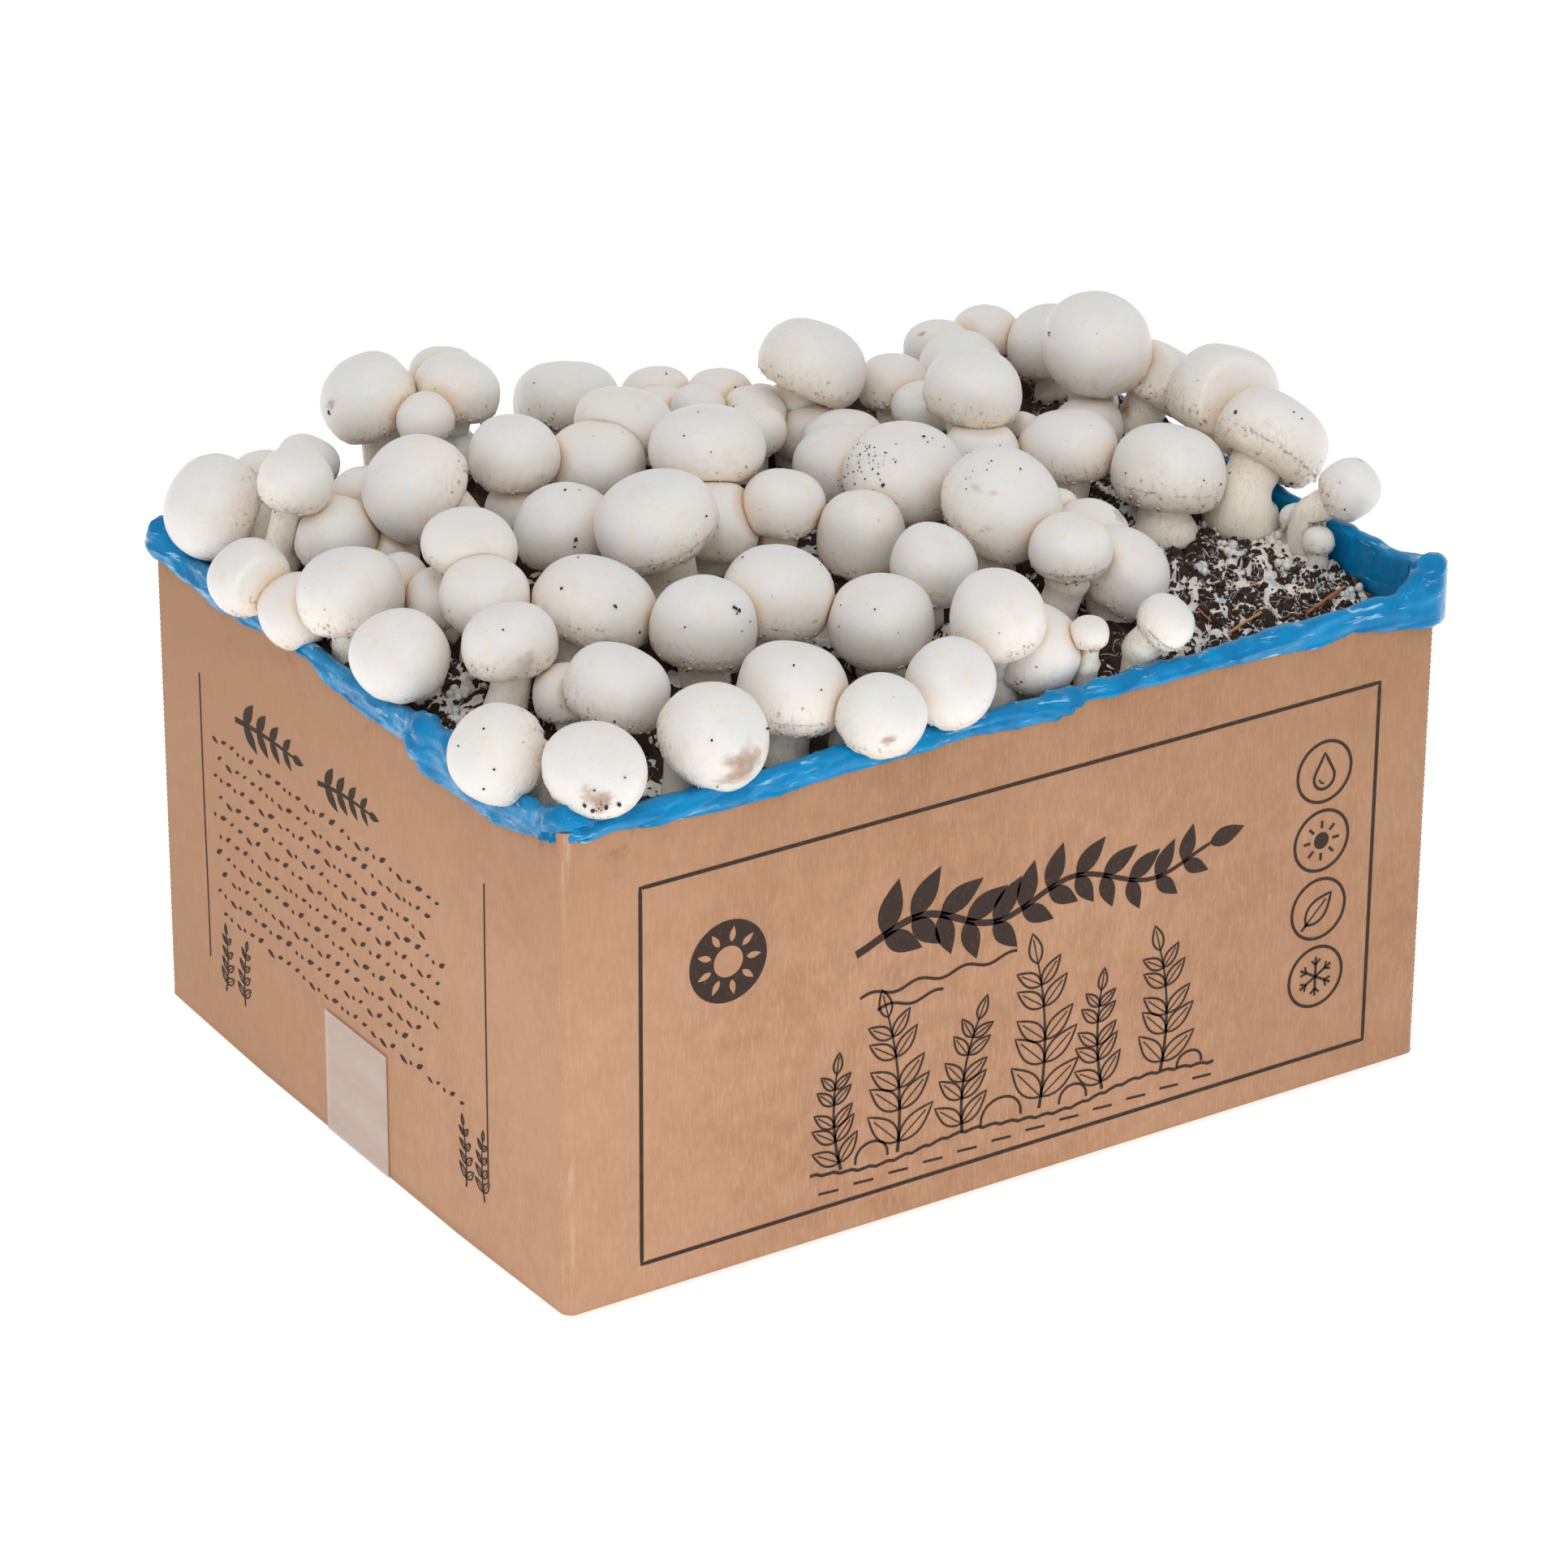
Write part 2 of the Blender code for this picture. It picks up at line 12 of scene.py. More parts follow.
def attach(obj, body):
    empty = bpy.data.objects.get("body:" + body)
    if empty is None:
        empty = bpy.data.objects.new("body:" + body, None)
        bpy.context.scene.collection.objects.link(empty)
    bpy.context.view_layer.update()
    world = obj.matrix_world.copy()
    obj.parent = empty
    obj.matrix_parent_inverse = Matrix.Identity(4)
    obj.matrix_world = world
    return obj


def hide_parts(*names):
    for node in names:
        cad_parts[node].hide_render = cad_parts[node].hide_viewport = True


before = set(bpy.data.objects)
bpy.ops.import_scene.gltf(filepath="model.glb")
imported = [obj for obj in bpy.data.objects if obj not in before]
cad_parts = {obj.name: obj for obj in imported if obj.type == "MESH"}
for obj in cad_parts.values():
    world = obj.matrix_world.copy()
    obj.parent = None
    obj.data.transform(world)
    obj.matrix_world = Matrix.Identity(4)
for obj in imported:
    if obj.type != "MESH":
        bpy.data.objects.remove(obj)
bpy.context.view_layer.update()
mm = 0.001
body = "root"


# Shading: a material is a graph of nodes, and a wire is a socket that does arithmetic
class Wire:
    def __init__(self, graph, socket):
        self.graph = graph
        self.socket = socket

    def math(self, operation, *others):
        values = dict(enumerate([self, *others]))
        return self.graph.node("ShaderNodeMath", {"operation": operation}, values)

    def __add__(self, other):
        return self.math("ADD", other)

    def __sub__(self, other):
        return self.math("SUBTRACT", other)

    def __mul__(self, other):
        return self.math("MULTIPLY", other)

    def __rsub__(self, other):
        return self.math("MULTIPLY_ADD", -1, other)

    __radd__ = __add__
    __rmul__ = __mul__

    def step(self, low, high):
        # 0 at low and 1 at high, smooth between; low may be the larger one
        values = {"Value": self, "From Min": low, "From Max": high}
        return self.graph.node("ShaderNodeMapRange", {"interpolation_type": "SMOOTHSTEP"}, values)


class Graph:
    def __init__(self, owner):
        owner.use_nodes = True
        self.tree = owner.node_tree
        self.tree.nodes.clear()

    def node(self, kind, settings=None, sockets=None, output=0):
        made = self.tree.nodes.new(kind)
        for name, value in (settings or {}).items():
            if name == "stops":
                self.setStops(made.color_ramp.elements, value)
            else:
                setattr(made, name, value)
        for name, value in (sockets or {}).items():
            target = made.inputs[name]
            if isinstance(value, Wire):
                self.tree.links.new(value.socket, target)
            elif target.type == "RGBA":
                target.default_value = (*value[:3], 1)
            else:
                target.default_value = value
        return Wire(self, made.outputs[output]) if made.outputs else made

    def setStops(self, elements, stops):
        while len(elements) < len(stops):
            elements.new(1)
        for element, (place, colour) in zip(elements, stops):
            element.position = place
            element.color = (*colour, 1)

    def places(self):
        return self.node("ShaderNodeTexCoord", output="Object")

    def stretched(self, places, factors):
        return self.node("ShaderNodeVectorMath", {"operation": "MULTIPLY"}, {0: places, 1: factors})

    def part(self, places, axis):
        return self.node("ShaderNodeSeparateXYZ", None, {"Vector": places}, axis) * (1 / mm)

    def noise(self, places, size, detail=2.0, rough=0.5):
        # size is the width of one lump in millimetres
        values = {"Vector": places, "Scale": 1 / (size * mm), "Detail": detail, "Roughness": rough}
        return self.node("ShaderNodeTexNoise", None, values)

    def cells(self, places, size):
        return self.node("ShaderNodeTexVoronoi", None, {"Vector": places, "Scale": 1 / (size * mm)})

    def mark(self, name):
        return self.node("ShaderNodeAttribute", {"attribute_name": name}, output="Fac")

    def mix(self, share, first, second):
        return self.node("ShaderNodeMix", {"data_type": "RGBA"}, {0: share, 6: first, 7: second}, 2)

    def coats(self, colour, *coats):
        # Each coat is the share of the surface that it covers, then its colour
        for share, coat in coats:
            colour = self.mix(share, colour, coat)
        return colour

    def bump(self, height, distance, strength=1.0):
        values = {"Height": height, "Distance": distance * mm, "Strength": strength}
        return self.node("ShaderNodeBump", None, values)

    def surface(self, sockets):
        shader = self.node("ShaderNodeBsdfPrincipled", None, sockets)
        self.node("ShaderNodeOutputMaterial", None, {"Surface": shader})


def newMaterial(name):
    made = bpy.data.materials.new(name)
    return made, Graph(made)


# Finishes of two colours: dark, light, the noise between them (size, detail, roughness), roughness and gloss
plainFinishes = {
    "bare board": ((0.41, 0.210, 0.113), (0.52, 0.292, 0.175), (5.0, 4.0, 0.6), 0.82, 0.3),
    "dirt": ((0.022, 0.014, 0.010), (0.095, 0.055, 0.034), (1.2, 3.0, 0.7), 0.9, 0.25),
    "peat bits": ((0.30, 0.17, 0.09), (0.52, 0.40, 0.28), (1.5, 2.0, 0.5), 0.85, 0.5),
    "straw": ((0.30, 0.09, 0.045), (0.55, 0.24, 0.12), (1.6, 3.0, 0.6), 0.65, 0.5),
    "stick": ((0.50, 0.20, 0.07), (0.66, 0.36, 0.17), (1.6, 3.0, 0.6), 0.65, 0.5),
    "twig": ((0.055, 0.05, 0.05), (0.15, 0.135, 0.125), (1.6, 3.0, 0.6), 0.65, 0.5),
}


def plainMaterial(name):
    dark, light, noise, roughness, gloss = plainFinishes[name]
    made, graph = newMaterial(name)
    colour = graph.mix(graph.noise(graph.places(), *noise), dark, light)
    graph.surface({"Base Color": colour, "Roughness": roughness, "Specular IOR Level": gloss})
    return made


# Noise for shapes: smooth values from -1 to 1 at points in millimetres, the same in each run
def cellValues(cells, seed):
    mixed = cells[..., 0] * 73856093 ^ cells[..., 1] * 19349663 ^ cells[..., 2] * 83492791 ^ seed * 2654435
    mixed = (mixed ^ (mixed >> 13)) * 1274126177 & 0x7FFFFFFF
    mixed = (mixed ^ (mixed >> 15)) * 668265263 & 0x7FFFFFFF
    return mixed / 0x3FFFFFFF - 1


def lumps(points, size, seed=0):
    scaled = np.asarray(points, float) / size + 1000.5
    cells = np.floor(scaled).astype(np.int64)
    share = scaled - cells
    share = share * share * (3 - 2 * share)
    total = 0
    for corner in range(8):
        shift = np.array([corner & 1, corner >> 1 & 1, corner >> 2 & 1])
        weight = np.where(shift == 1, share, 1 - share).prod(axis=-1)
        total = total + weight * cellValues(cells + shift, seed)
    return total


def creases(points, size, seed=0):
    # 1 along a crease and 0 between two
    return 1 - np.minimum(np.abs(lumps(points, size, seed)) * 2.4, 1)


def smoothStep(values, low, high):
    share = np.clip((np.asarray(values, float) - low) / (high - low), 0, 1)
    return share * share * (3 - 2 * share)


def unit(ways, least=0.0):
    # Each way made 1 long
    return ways / (np.linalg.norm(ways, axis=-1, keepdims=True) + least)


# Meshes
def gridFaces(rows, columns, closed=True):
    around = np.arange(columns if closed else columns - 1)
    after = (around + 1) % columns
    lower = np.arange(rows - 1)[:, None] * columns
    faces = np.stack([lower + around, lower + after, lower + columns + after, lower + columns + around], -1)
    return faces.reshape(-1, 4)


def fanFaces(start, count, centre):
    around = np.arange(count)
    return np.stack([np.full(count, centre), start + (around + 1) % count, start + around], -1)


def makePiece(name, points, faces, materials, kinds=None, marks=None, smooth=True):
    # faces is a list of arrays, each with faces of one size, and kinds has each array's material number
    mesh = bpy.data.meshes.new(name)
    corners = np.concatenate([array.ravel() for array in faces])
    sizes = np.concatenate([np.full(len(array), array.shape[1]) for array in faces])
    mesh.vertices.add(len(points))
    mesh.vertices.foreach_set("co", (np.asarray(points, float) * mm).ravel())
    mesh.loops.add(len(corners))
    mesh.loops.foreach_set("vertex_index", corners)
    mesh.polygons.add(len(sizes))
    mesh.polygons.foreach_set("loop_start", np.cumsum(sizes) - sizes)
    mesh.polygons.foreach_set("loop_total", sizes)
    if kinds:
        numbers = np.concatenate([np.full(len(array), kind) for array, kind in zip(faces, kinds)])
        mesh.polygons.foreach_set("material_index", numbers)
    mesh.polygons.foreach_set("use_smooth", np.full(len(sizes), smooth))
    for material in materials:
        mesh.materials.append(material)
    for markName, values in (marks or {}).items():
        layer = mesh.attributes.new(markName, "FLOAT", "POINT")
        layer.data.foreach_set("value", np.asarray(values, float))
    mesh.update()
    piece = bpy.data.objects.new(name, mesh)
    bpy.context.scene.collection.objects.link(piece)
    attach(piece, body)
    return piece


class Heap:
    # Gathers many small shapes, which become one mesh
    def __init__(self):
        self.points = []
        self.faces = {}
        self.marks = {}
        self.count = 0

    def add(self, points, faceArrays, kind=0, **marks):
        for faces in faceArrays:
            self.faces.setdefault((kind, faces.shape[1]), []).append(faces + self.count)
        self.points.append(points)
        for name, values in marks.items():
            self.marks.setdefault(name, []).append(np.broadcast_to(values, len(points)))
        self.count += len(points)

    def build(self, name, materials, smooth=True):
        faces = [np.concatenate(arrays) for arrays in self.faces.values()]
        kinds = [kind for kind, size in self.faces]
        marks = {mark: np.concatenate(values) for mark, values in self.marks.items()}
        return makePiece(name, np.concatenate(self.points), faces, materials, kinds, marks, smooth)


def ballShape(divisions):
    shape = bmesh.new()
    bmesh.ops.create_icosphere(shape, subdivisions=divisions, radius=1)
    points = np.array([point.co for point in shape.verts])
    faces = np.array([[point.index for point in face.verts] for face in shape.faces])
    shape.free()
    return points, faces


def scattered(shape, places, sizes, chance, rough=0.0):
    # One turned copy of the shape at each place; rough is how far its points stray, as a share
    points, faces = shape
    count = len(places)
    turns = chance.normal(size=(count, 4))
    turns = unit(turns)
    w, x, y, z = turns.T
    rows = [
        [1 - 2 * (y * y + z * z), 2 * (x * y - w * z), 2 * (x * z + w * y)],
        [2 * (x * y + w * z), 1 - 2 * (x * x + z * z), 2 * (y * z - w * x)],
        [2 * (x * z - w * y), 2 * (y * z + w * x), 1 - 2 * (x * x + y * y)],
    ]
    turn = np.moveaxis(np.array(rows), 2, 0)
    shapes = points * (1 + rough * chance.uniform(-1, 1, size=(count, len(points), 1)))
    shapes = shapes * np.asarray(sizes)[:, None, :]
    shapes = np.einsum("nij,npj->npi", turn, shapes) + np.asarray(places)[:, None, :]
    allFaces = faces[None] + (np.arange(count) * len(points))[:, None, None]
    return shapes.reshape(-1, 3), allFaces.reshape(-1, faces.shape[1])


def tube(path, radii, sides=3):
    # A closed tube along a path, with a radius for each of its points
    path = np.asarray(path, float)
    ways = unit(np.gradient(path, axis=0), 1e-9)
    first = unit(np.cross(ways, (0.03, 0.02, 1.0)), 1e-9)
    second = np.cross(ways, first)
    angles = np.arange(sides) * 2 * math.pi / sides
    offset = first[:, None] * np.cos(angles)[None, :, None] + second[:, None] * np.sin(angles)[None, :, None]
    rings = path[:, None] + offset * np.asarray(radii, float)[:, None, None]
    points = np.concatenate([rings.reshape(-1, 3), path[:1], path[-1:]])
    count = len(path) * sides
    ends = [fanFaces(0, sides, count), fanFaces(count - sides, sides, count + 1)[:, ::-1]]
    return points, [gridFaces(len(path), sides)[:, ::-1], np.concatenate(ends)]


def smoothCurve(points, count):
    # Points at equal steps of a smooth curve through the given ones
    points = np.asarray(points, float)
    ends = np.concatenate([2 * points[:1] - points[1:2], points, 2 * points[-1:] - points[-2:-1]])
    curve = []
    for number in range(len(points) - 1):
        before, start, end, after = ends[number : number + 4]
        for share in np.linspace(0, 1, 12, endpoint=False):
            bow = (end - before) * share + (2 * before - 5 * start + 4 * end - after) * share**2
            curve.append(start + 0.5 * (bow + (3 * start - before - 3 * end + after) * share**3))
    curve = np.array(curve + [points[-1]])
    along = np.concatenate([[0], np.cumsum(np.linalg.norm(np.diff(curve, axis=0), axis=1))])
    steps = np.linspace(0, along[-1], count)
    return np.stack([np.interp(steps, along, column) for column in curve.T], -1)


# Camera: it stands where the photograph was taken from
camera = {
    "azimuth": -32.98,
    "elevation": 25.53,
    "roll": 0.359,
    "distance": 2583.6,
    "aim": (0, 0, 110),
    "slide": (-2.12, -0.69),
    "lens": 148.2,
    "sensor": 36.0,
    "photoWidth": 1932,
}


def wayTo(azimuth, elevation):
    # From the object toward a viewer or a lamp: azimuth 0 is in front of it, and 90 on its right
    turn, high = math.radians(azimuth), math.radians(elevation)
    return Vector((math.sin(turn) * math.cos(high), -math.cos(turn) * math.cos(high), math.sin(high)))


def cameraAxes():
    turn, roll = math.radians(camera["azimuth"]), math.radians(camera["roll"])
    back = wayTo(camera["azimuth"], camera["elevation"])
    level = Vector((math.cos(turn), math.sin(turn), 0))
    upright = back.cross(level)
    right = level * math.cos(roll) + upright * math.sin(roll)
    up = upright * math.cos(roll) - level * math.sin(roll)
    slideX, slideY = camera["slide"]
    eye = Vector(camera["aim"]) + back * camera["distance"] + right * slideX + up * slideY
    return right, up, back, eye


def makeCamera():
    right, up, back, eye = cameraAxes()
    data = bpy.data.cameras.new("camera")
    data.lens = camera["lens"]
    data.sensor_width = camera["sensor"]
    data.clip_end = 30
    made = bpy.data.objects.new("camera", data)
    bpy.context.scene.collection.objects.link(made)
    place = Matrix((right, up, back)).transposed().to_4x4()
    place.translation = eye * mm
    made.matrix_world = place
    bpy.context.scene.camera = made
    print("camera placed")


def sightLine(column, row):
    # From the camera through a pixel of the photograph
    right, up, back, eye = cameraAxes()
    pixels = camera["lens"] / camera["sensor"] * camera["photoWidth"]
    middle = camera["photoWidth"] / 2
    way = right * ((column - middle) / pixels) - up * ((row - middle) / pixels) - back
    return eye, way.normalized()


# Box of the carton
carton = {
    "long": 400.0,
    "short": 315.2,
    "high": 203.0,
    "board": 4.0,
    "corner": 4.6,
    "innerCorner": 1.5,
    "floor": 8.0,
    "edgeLift": 2.6,
    "rows": 344,
    "steps": (18, 16, 6),  # along a long side, along a short one and round a corner
    "ribPitch": 2.35,
    "ribDepth": 0.42,
    "ribWander": 0.25,
    "rolledRib": 0.3,  # share of the ribs' depth at the corner that is rolled flat
    "bulge": 0.4,
    "bulgeSize": 85.0,
    "dent": 0.3,  # dents under the liner's fold
    "dentSize": 22.0,
    # Rings of the underside from its middle, where the seam is: share of the depth, and height
    "underside": ((0.006, 4.0), (0.0061, 0.7), (0.159, 0.7), (0.16, 0.0), (0.5, 0.0)),
    "undersideLong": 0.99,
    "innerRing": 190.0,
}
# The soil's surface: a plain slope with dips and a lump, then the crumbs that are set into it
soil = {
    "low": 187.0,
    # Smooth steps: along which axis, how high, where its middle is and over what length, which is below 0
    # for one that stands on the low side
    "slopes": ((1, 22.0, -95.0, 22.0), (0, -8.0, -165.0, -14.0), (1, -4.0, 140.0, 10.0)),
    "lump": ((195.0, 35.0), (25.0, 35.0), 8.0),  # middle, half widths and height
    "step": 1.7,
    "inset": 0.25,
    "sunk": 1.4,
    "swells": ((1.5, 17.0, 41), (0.8, 6.0, 42)),  # height, size and seed
    "crumbs": ((5.2, 420), (3.6, 900), (2.6, 3000), (1.9, 8000)),  # radius and count
    "jitter": 0.35,
    "bottom": 9.8,
}
lining = 5.6  # from the carton's outside to the soil
roomX = carton["long"] / 2 - lining
roomY = carton["short"] / 2 - lining


def soilHeight(x, y):
    places = np.asarray(x, float), np.asarray(y, float)
    height = soil["low"]
    for axis, high, middle, length in soil["slopes"]:
        height = height + high / (1 + np.exp(-(places[axis] - middle) / length))
    middles, widths, high = soil["lump"]
    awayX, awayY = ((place - middle) / width for place, middle, width in zip(places, middles, widths))
    return height + high * np.exp(-(awayX**2) - awayY**2)


def onBed(column, row, lift=0.0):
    # Where the sight line through a pixel meets the soil
    eye, way = sightLine(column, row)
    height = 200.0
    for _ in range(12):
        place = eye + way * ((height + lift - eye.z) / way.z)
        height = float(soilHeight(place.x, place.y))
    return np.array(place)


# Light: a white room, and large soft lamps in front of the carton
lighting = {
    "worldSeen": 1.0,
    "worldLight": 0.69,
    "floorSize": 12.0,
    "floorLevel": -0.0006,
    "floorColours": ((0.74, 0.74, 0.74), (0.76, 0.76, 0.76)),
    "floorGlow": 0.66,
    # name: direction seen from the object (azimuth, elevation), distance in m, width in m, watts, colour
    "lamps": {
        "key": (-6, 24, 3.2, 2.4, 10.5, (1.0, 0.985, 0.97)),
        "fill": (-62, 14, 3.2, 2.4, 3.2, (1.0, 0.985, 0.975)),
        "near": (-38, 50, 3.0, 0.45, 7.5, (1.0, 0.99, 0.975)),
        "top": (20, 80, 3.0, 2.4, 4, (0.97, 0.985, 1.0)),
    },
}


def makeRoom():
    world = bpy.data.worlds.new("room")
    bpy.context.scene.world = world
    graph = Graph(world)
    seen = graph.node("ShaderNodeLightPath", output="Is Camera Ray")
    strength = seen * (lighting["worldSeen"] - lighting["worldLight"]) + lighting["worldLight"]
    back = graph.node("ShaderNodeBackground", None, {"Color": (1, 1, 1), "Strength": strength})
    graph.node("ShaderNodeOutputWorld", None, {"Surface": back})
    bpy.context.scene.view_settings.view_transform = "Standard"

    half = lighting["floorSize"] / 2
    mesh = bpy.data.meshes.new("floor")
    corners = [(-half, -half), (half, -half), (half, half), (-half, half)]
    mesh.from_pydata([(x, y, lighting["floorLevel"]) for x, y in corners], [], [(0, 1, 2, 3)])
    floor = bpy.data.objects.new("floor", mesh)
    bpy.context.scene.collection.objects.link(floor)
    paint, graph = newMaterial("floor")
    graph.surface({
        "Base Color": graph.mix(graph.noise(graph.places(), 900.0), *lighting["floorColours"]),
        "Roughness": 0.9,
        "Emission Color": (1, 1, 1),
        "Emission Strength": lighting["floorGlow"],
    })
    mesh.materials.append(paint)

    for name, (azimuth, elevation, distance, width, watts, colour) in lighting["lamps"].items():
        data = bpy.data.lights.new(name, "AREA")
        data.shape = "DISK"
        data.size = width
        data.energy = watts
        data.color = colour
        lamp = bpy.data.objects.new(name, data)
        way = wayTo(azimuth, elevation)
        turn = way.to_track_quat("Z", "Y").to_matrix().to_4x4()
        lamp.matrix_world = Matrix.Translation(way * distance) @ turn
        bpy.context.scene.collection.objects.link(lamp)
    print("room, floor and lamps made")


# Carton: walls of board with a fine ribbed edge at the corners
sideNames = ("front", "right", "back", "left")


def sideWays(number):
    # The ways along a side and out of it, for the front, right, back and left one
    turn = math.radians(90 * number)
    along = np.array((math.cos(turn), math.sin(turn)))
    return along, np.array((along[1], -along[0]))


def boardShift(points):
    # How far the board stands out from its flat face at these points; the two long faces are flat
    x, y, z = np.asarray(points, float).T
    end = smoothStep(np.abs(x), carton["long"] / 2 - 6, carton["long"] / 2 - 1)
    inside = smoothStep(carton["short"] / 2 - np.abs(y), 2, 30)
    waves = lumps(points, carton["bulgeSize"], 3)
    dents = lumps(np.asarray(points) * (1, 1, 1.6), carton["dentSize"], 4) * smoothStep(z, 150, 190)
    return end * inside * (carton["bulge"] * waves + dents * carton["dent"])


def rectangle(inset, corner, longSteps, shortSteps, cornerSteps):
    # Points, outward ways and a share of 1 at the corners, round the carton from its front left corner
    halfX, halfY = carton["long"] / 2 - inset, carton["short"] / 2 - inset
    rows = []
    for number in range(4):
        isLong = number % 2 == 0
        flat, far = (halfX - corner, halfY) if isLong else (halfY - corner, halfX)
        steps = longSteps if isLong else shortSteps
        along, out = sideWays(number)
        for share in np.linspace(-1, 1, steps + 1):
            rows.append((*(along * flat * share + out * far), *out, 0.0))
        for share in np.linspace(0, 1, cornerSteps + 2)[1:-1]:
            bend = math.radians(90 * share)
            way = out * math.cos(bend) + along * math.sin(bend)
            rows.append((*(along * flat + out * (far - corner) + way * corner), *way, math.sin(2 * bend)))
    rows = np.array(rows)
    return rows[:, :2], rows[:, 2:4], rows[:, 4]


def makeCarton(material):
    outer, ways, cornerShare = rectangle(0, carton["corner"], *carton["steps"])
    inner, _, _ = rectangle(carton["board"], carton["innerCorner"], *carton["steps"])
    count = len(outer)
    shares = np.linspace(0, 1, carton["rows"])[:, None]
    halfY = carton["short"] / 2
    lift = carton["edgeLift"] * np.clip(np.abs(outer[:, 1]) / halfY * 2 - 1, 0, 1)
    wallZ = lift + (carton["high"] - lift) * shares
    wall = np.empty((carton["rows"], count, 3))
    wall[..., :2] = outer
    wall[..., 2] = wallZ
    wander = carton["ribWander"] * lumps(wall * (0.02, 0.02, 0.2), 1, 8)
    ribs = np.abs(((wallZ / carton["ribPitch"] + wander) % 1) * 2 - 1)
    rolled = (outer[:, 0] < 0) & (outer[:, 1] < 0)
    depth = carton["ribDepth"] * cornerShare * np.where(rolled, carton["rolledRib"], 1.0)
    fade = smoothStep(shares, 0, 0.02) * smoothStep(shares, 1, 0.98)
    shift = (boardShift(wall.reshape(-1, 3)).reshape(wallZ.shape) - depth * ribs) * fade
    wall[..., :2] += ways * shift[..., None]
    rings = [
        np.column_stack([outer * (carton["undersideLong"], share), np.full(count, height)])
        for share, height in carton["underside"]
    ]
    rings.extend(wall)
    for height in (carton["high"], carton["innerRing"], carton["floor"]):
        rings.append(np.column_stack([inner, np.full(count, height)]))
    seam = carton["underside"][0][1]
    points = np.concatenate([*rings, [(0, 0, seam), (0, 0, carton["floor"])]])
    last = len(rings) * count
    ends = [fanFaces(0, count, last), fanFaces(last - count, count, last + 1)[:, ::-1]]
    edge = np.zeros(len(points))
    edge[:last] = np.tile(cornerShare, len(rings))
    faces = [gridFaces(len(rings), count), np.concatenate(ends)]
    piece = makePiece("cartonBoard", points, faces, [material], marks={"edge": edge})
    piece.data.set_sharp_from_angle(angle=math.radians(40))
    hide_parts("carton")
    print("carton made")


kraft = {
    "dark": (0.395, 0.205, 0.113),
    "light": (0.45, 0.248, 0.145),
    "mottle": (0.52, 0.292, 0.175),
    "fibre": (0.63, 0.39, 0.245),
    "speck": (0.29, 0.155, 0.088),
    # The next four tones are painted light and shade by place: lighter at the left end near the front corner,
    # darker toward the right end, the back and the top
    "litLeftEnd": (0.60, 0.35, 0.215),
    "shadedRightEnd": (0.33, 0.175, 0.095),
    "back": (0.35, 0.185, 0.10),
    "top": (0.33, 0.165, 0.082),
    # Painted shadow line along the foot, with some wear
    "foot": (0.30, 0.16, 0.09),
    "worn": (0.72, 0.52, 0.39),
    "scuff": (0.27, 0.15, 0.095),
    "ink": (0.040, 0.024, 0.018),
    "inkWorn": (0.16, 0.085, 0.05),
}


def kraftMaterial():
    made, graph = newMaterial("kraft board")
    places = graph.places()
    broad = graph.noise(places, 60.0, 3.0, 0.6)
    mottle = graph.noise(places, 9.0, 4.0, 0.6)
    fibres = graph.noise(graph.stretched(places, (1, 1, 0.16)), 1.1, 3.0, 0.65)
    speck = graph.noise(graph.stretched(places, (1, 1, 0.5)), 1.3, 2.0, 0.5).step(0.70, 0.78)
    streaks = graph.noise(graph.stretched(places, (1, 1, 0.09)), 2.6, 4.0, 0.7).step(0.48, 0.66)
    breaks = graph.noise(graph.stretched(places, (0.2, 0.2, 1)), 24.0, 2.0).step(0.36, 0.62)
    worn = streaks * graph.mark("edge").step(0.1, 0.8) * breaks
    # Painted light and shade by place: lighter toward the left end, darker toward the right end, the back and
    # the top
    litLeftEnd = graph.part(places, 0).step(-60, -200)
    shadedRightEnd = graph.part(places, 0).step(20, 210)
    back = graph.part(places, 1).step(-130, 150)
    height = graph.part(places, 2)
    scuff = graph.noise(places, 14.0, 5.0, 0.7).step(0.56, 0.70) * height.step(168, 196) * litLeftEnd
    colour = graph.coats(
        graph.mix(broad.step(0.3, 0.7), kraft["dark"], kraft["light"]),
        (mottle.step(0.35, 0.7) * 0.55, kraft["mottle"]),
        (fibres.step(0.42, 0.75) * 0.42, kraft["fibre"]),
        (speck * 0.45, kraft["speck"]),
        (litLeftEnd * 0.42, kraft["litLeftEnd"]),
        (shadedRightEnd * 0.35, kraft["shadedRightEnd"]),
        (back * 0.45, kraft["back"]),
        (height.step(110, 203) * 0.36, kraft["top"]),
        (worn * 0.42, kraft["worn"]),
        (scuff * 0.75, kraft["scuff"]),
        # Darker at the foot: a painted shadow line along the floor, with some wear
        (height.step(5, 0.5) * 0.35, kraft["foot"]),
    )
    relief = fibres * 0.5 + mottle * 0.6 + graph.noise(places, 0.5, 2.0) * 0.35
    graph.surface({
        "Base Color": colour,
        "Roughness": 0.82 - mottle * 0.12,
        "Specular IOR Level": 0.3,
        "Normal": graph.bump(relief, 0.12, 0.7),
    })
    return made


# Print on the carton: plant motifs, rules and round signs, as thin ink
ink = {
    "lift": 0.06,
    "thick": 0.12,
    "step": 3.0,
}


def wayAt(degrees):
    return np.array((math.cos(math.radians(degrees)), math.sin(math.radians(degrees))))


def circle(across, up, radius, count):
    angles = np.arange(count) * 2 * math.pi / count
    return np.column_stack([across + radius * np.cos(angles), up + radius * np.sin(angles)])


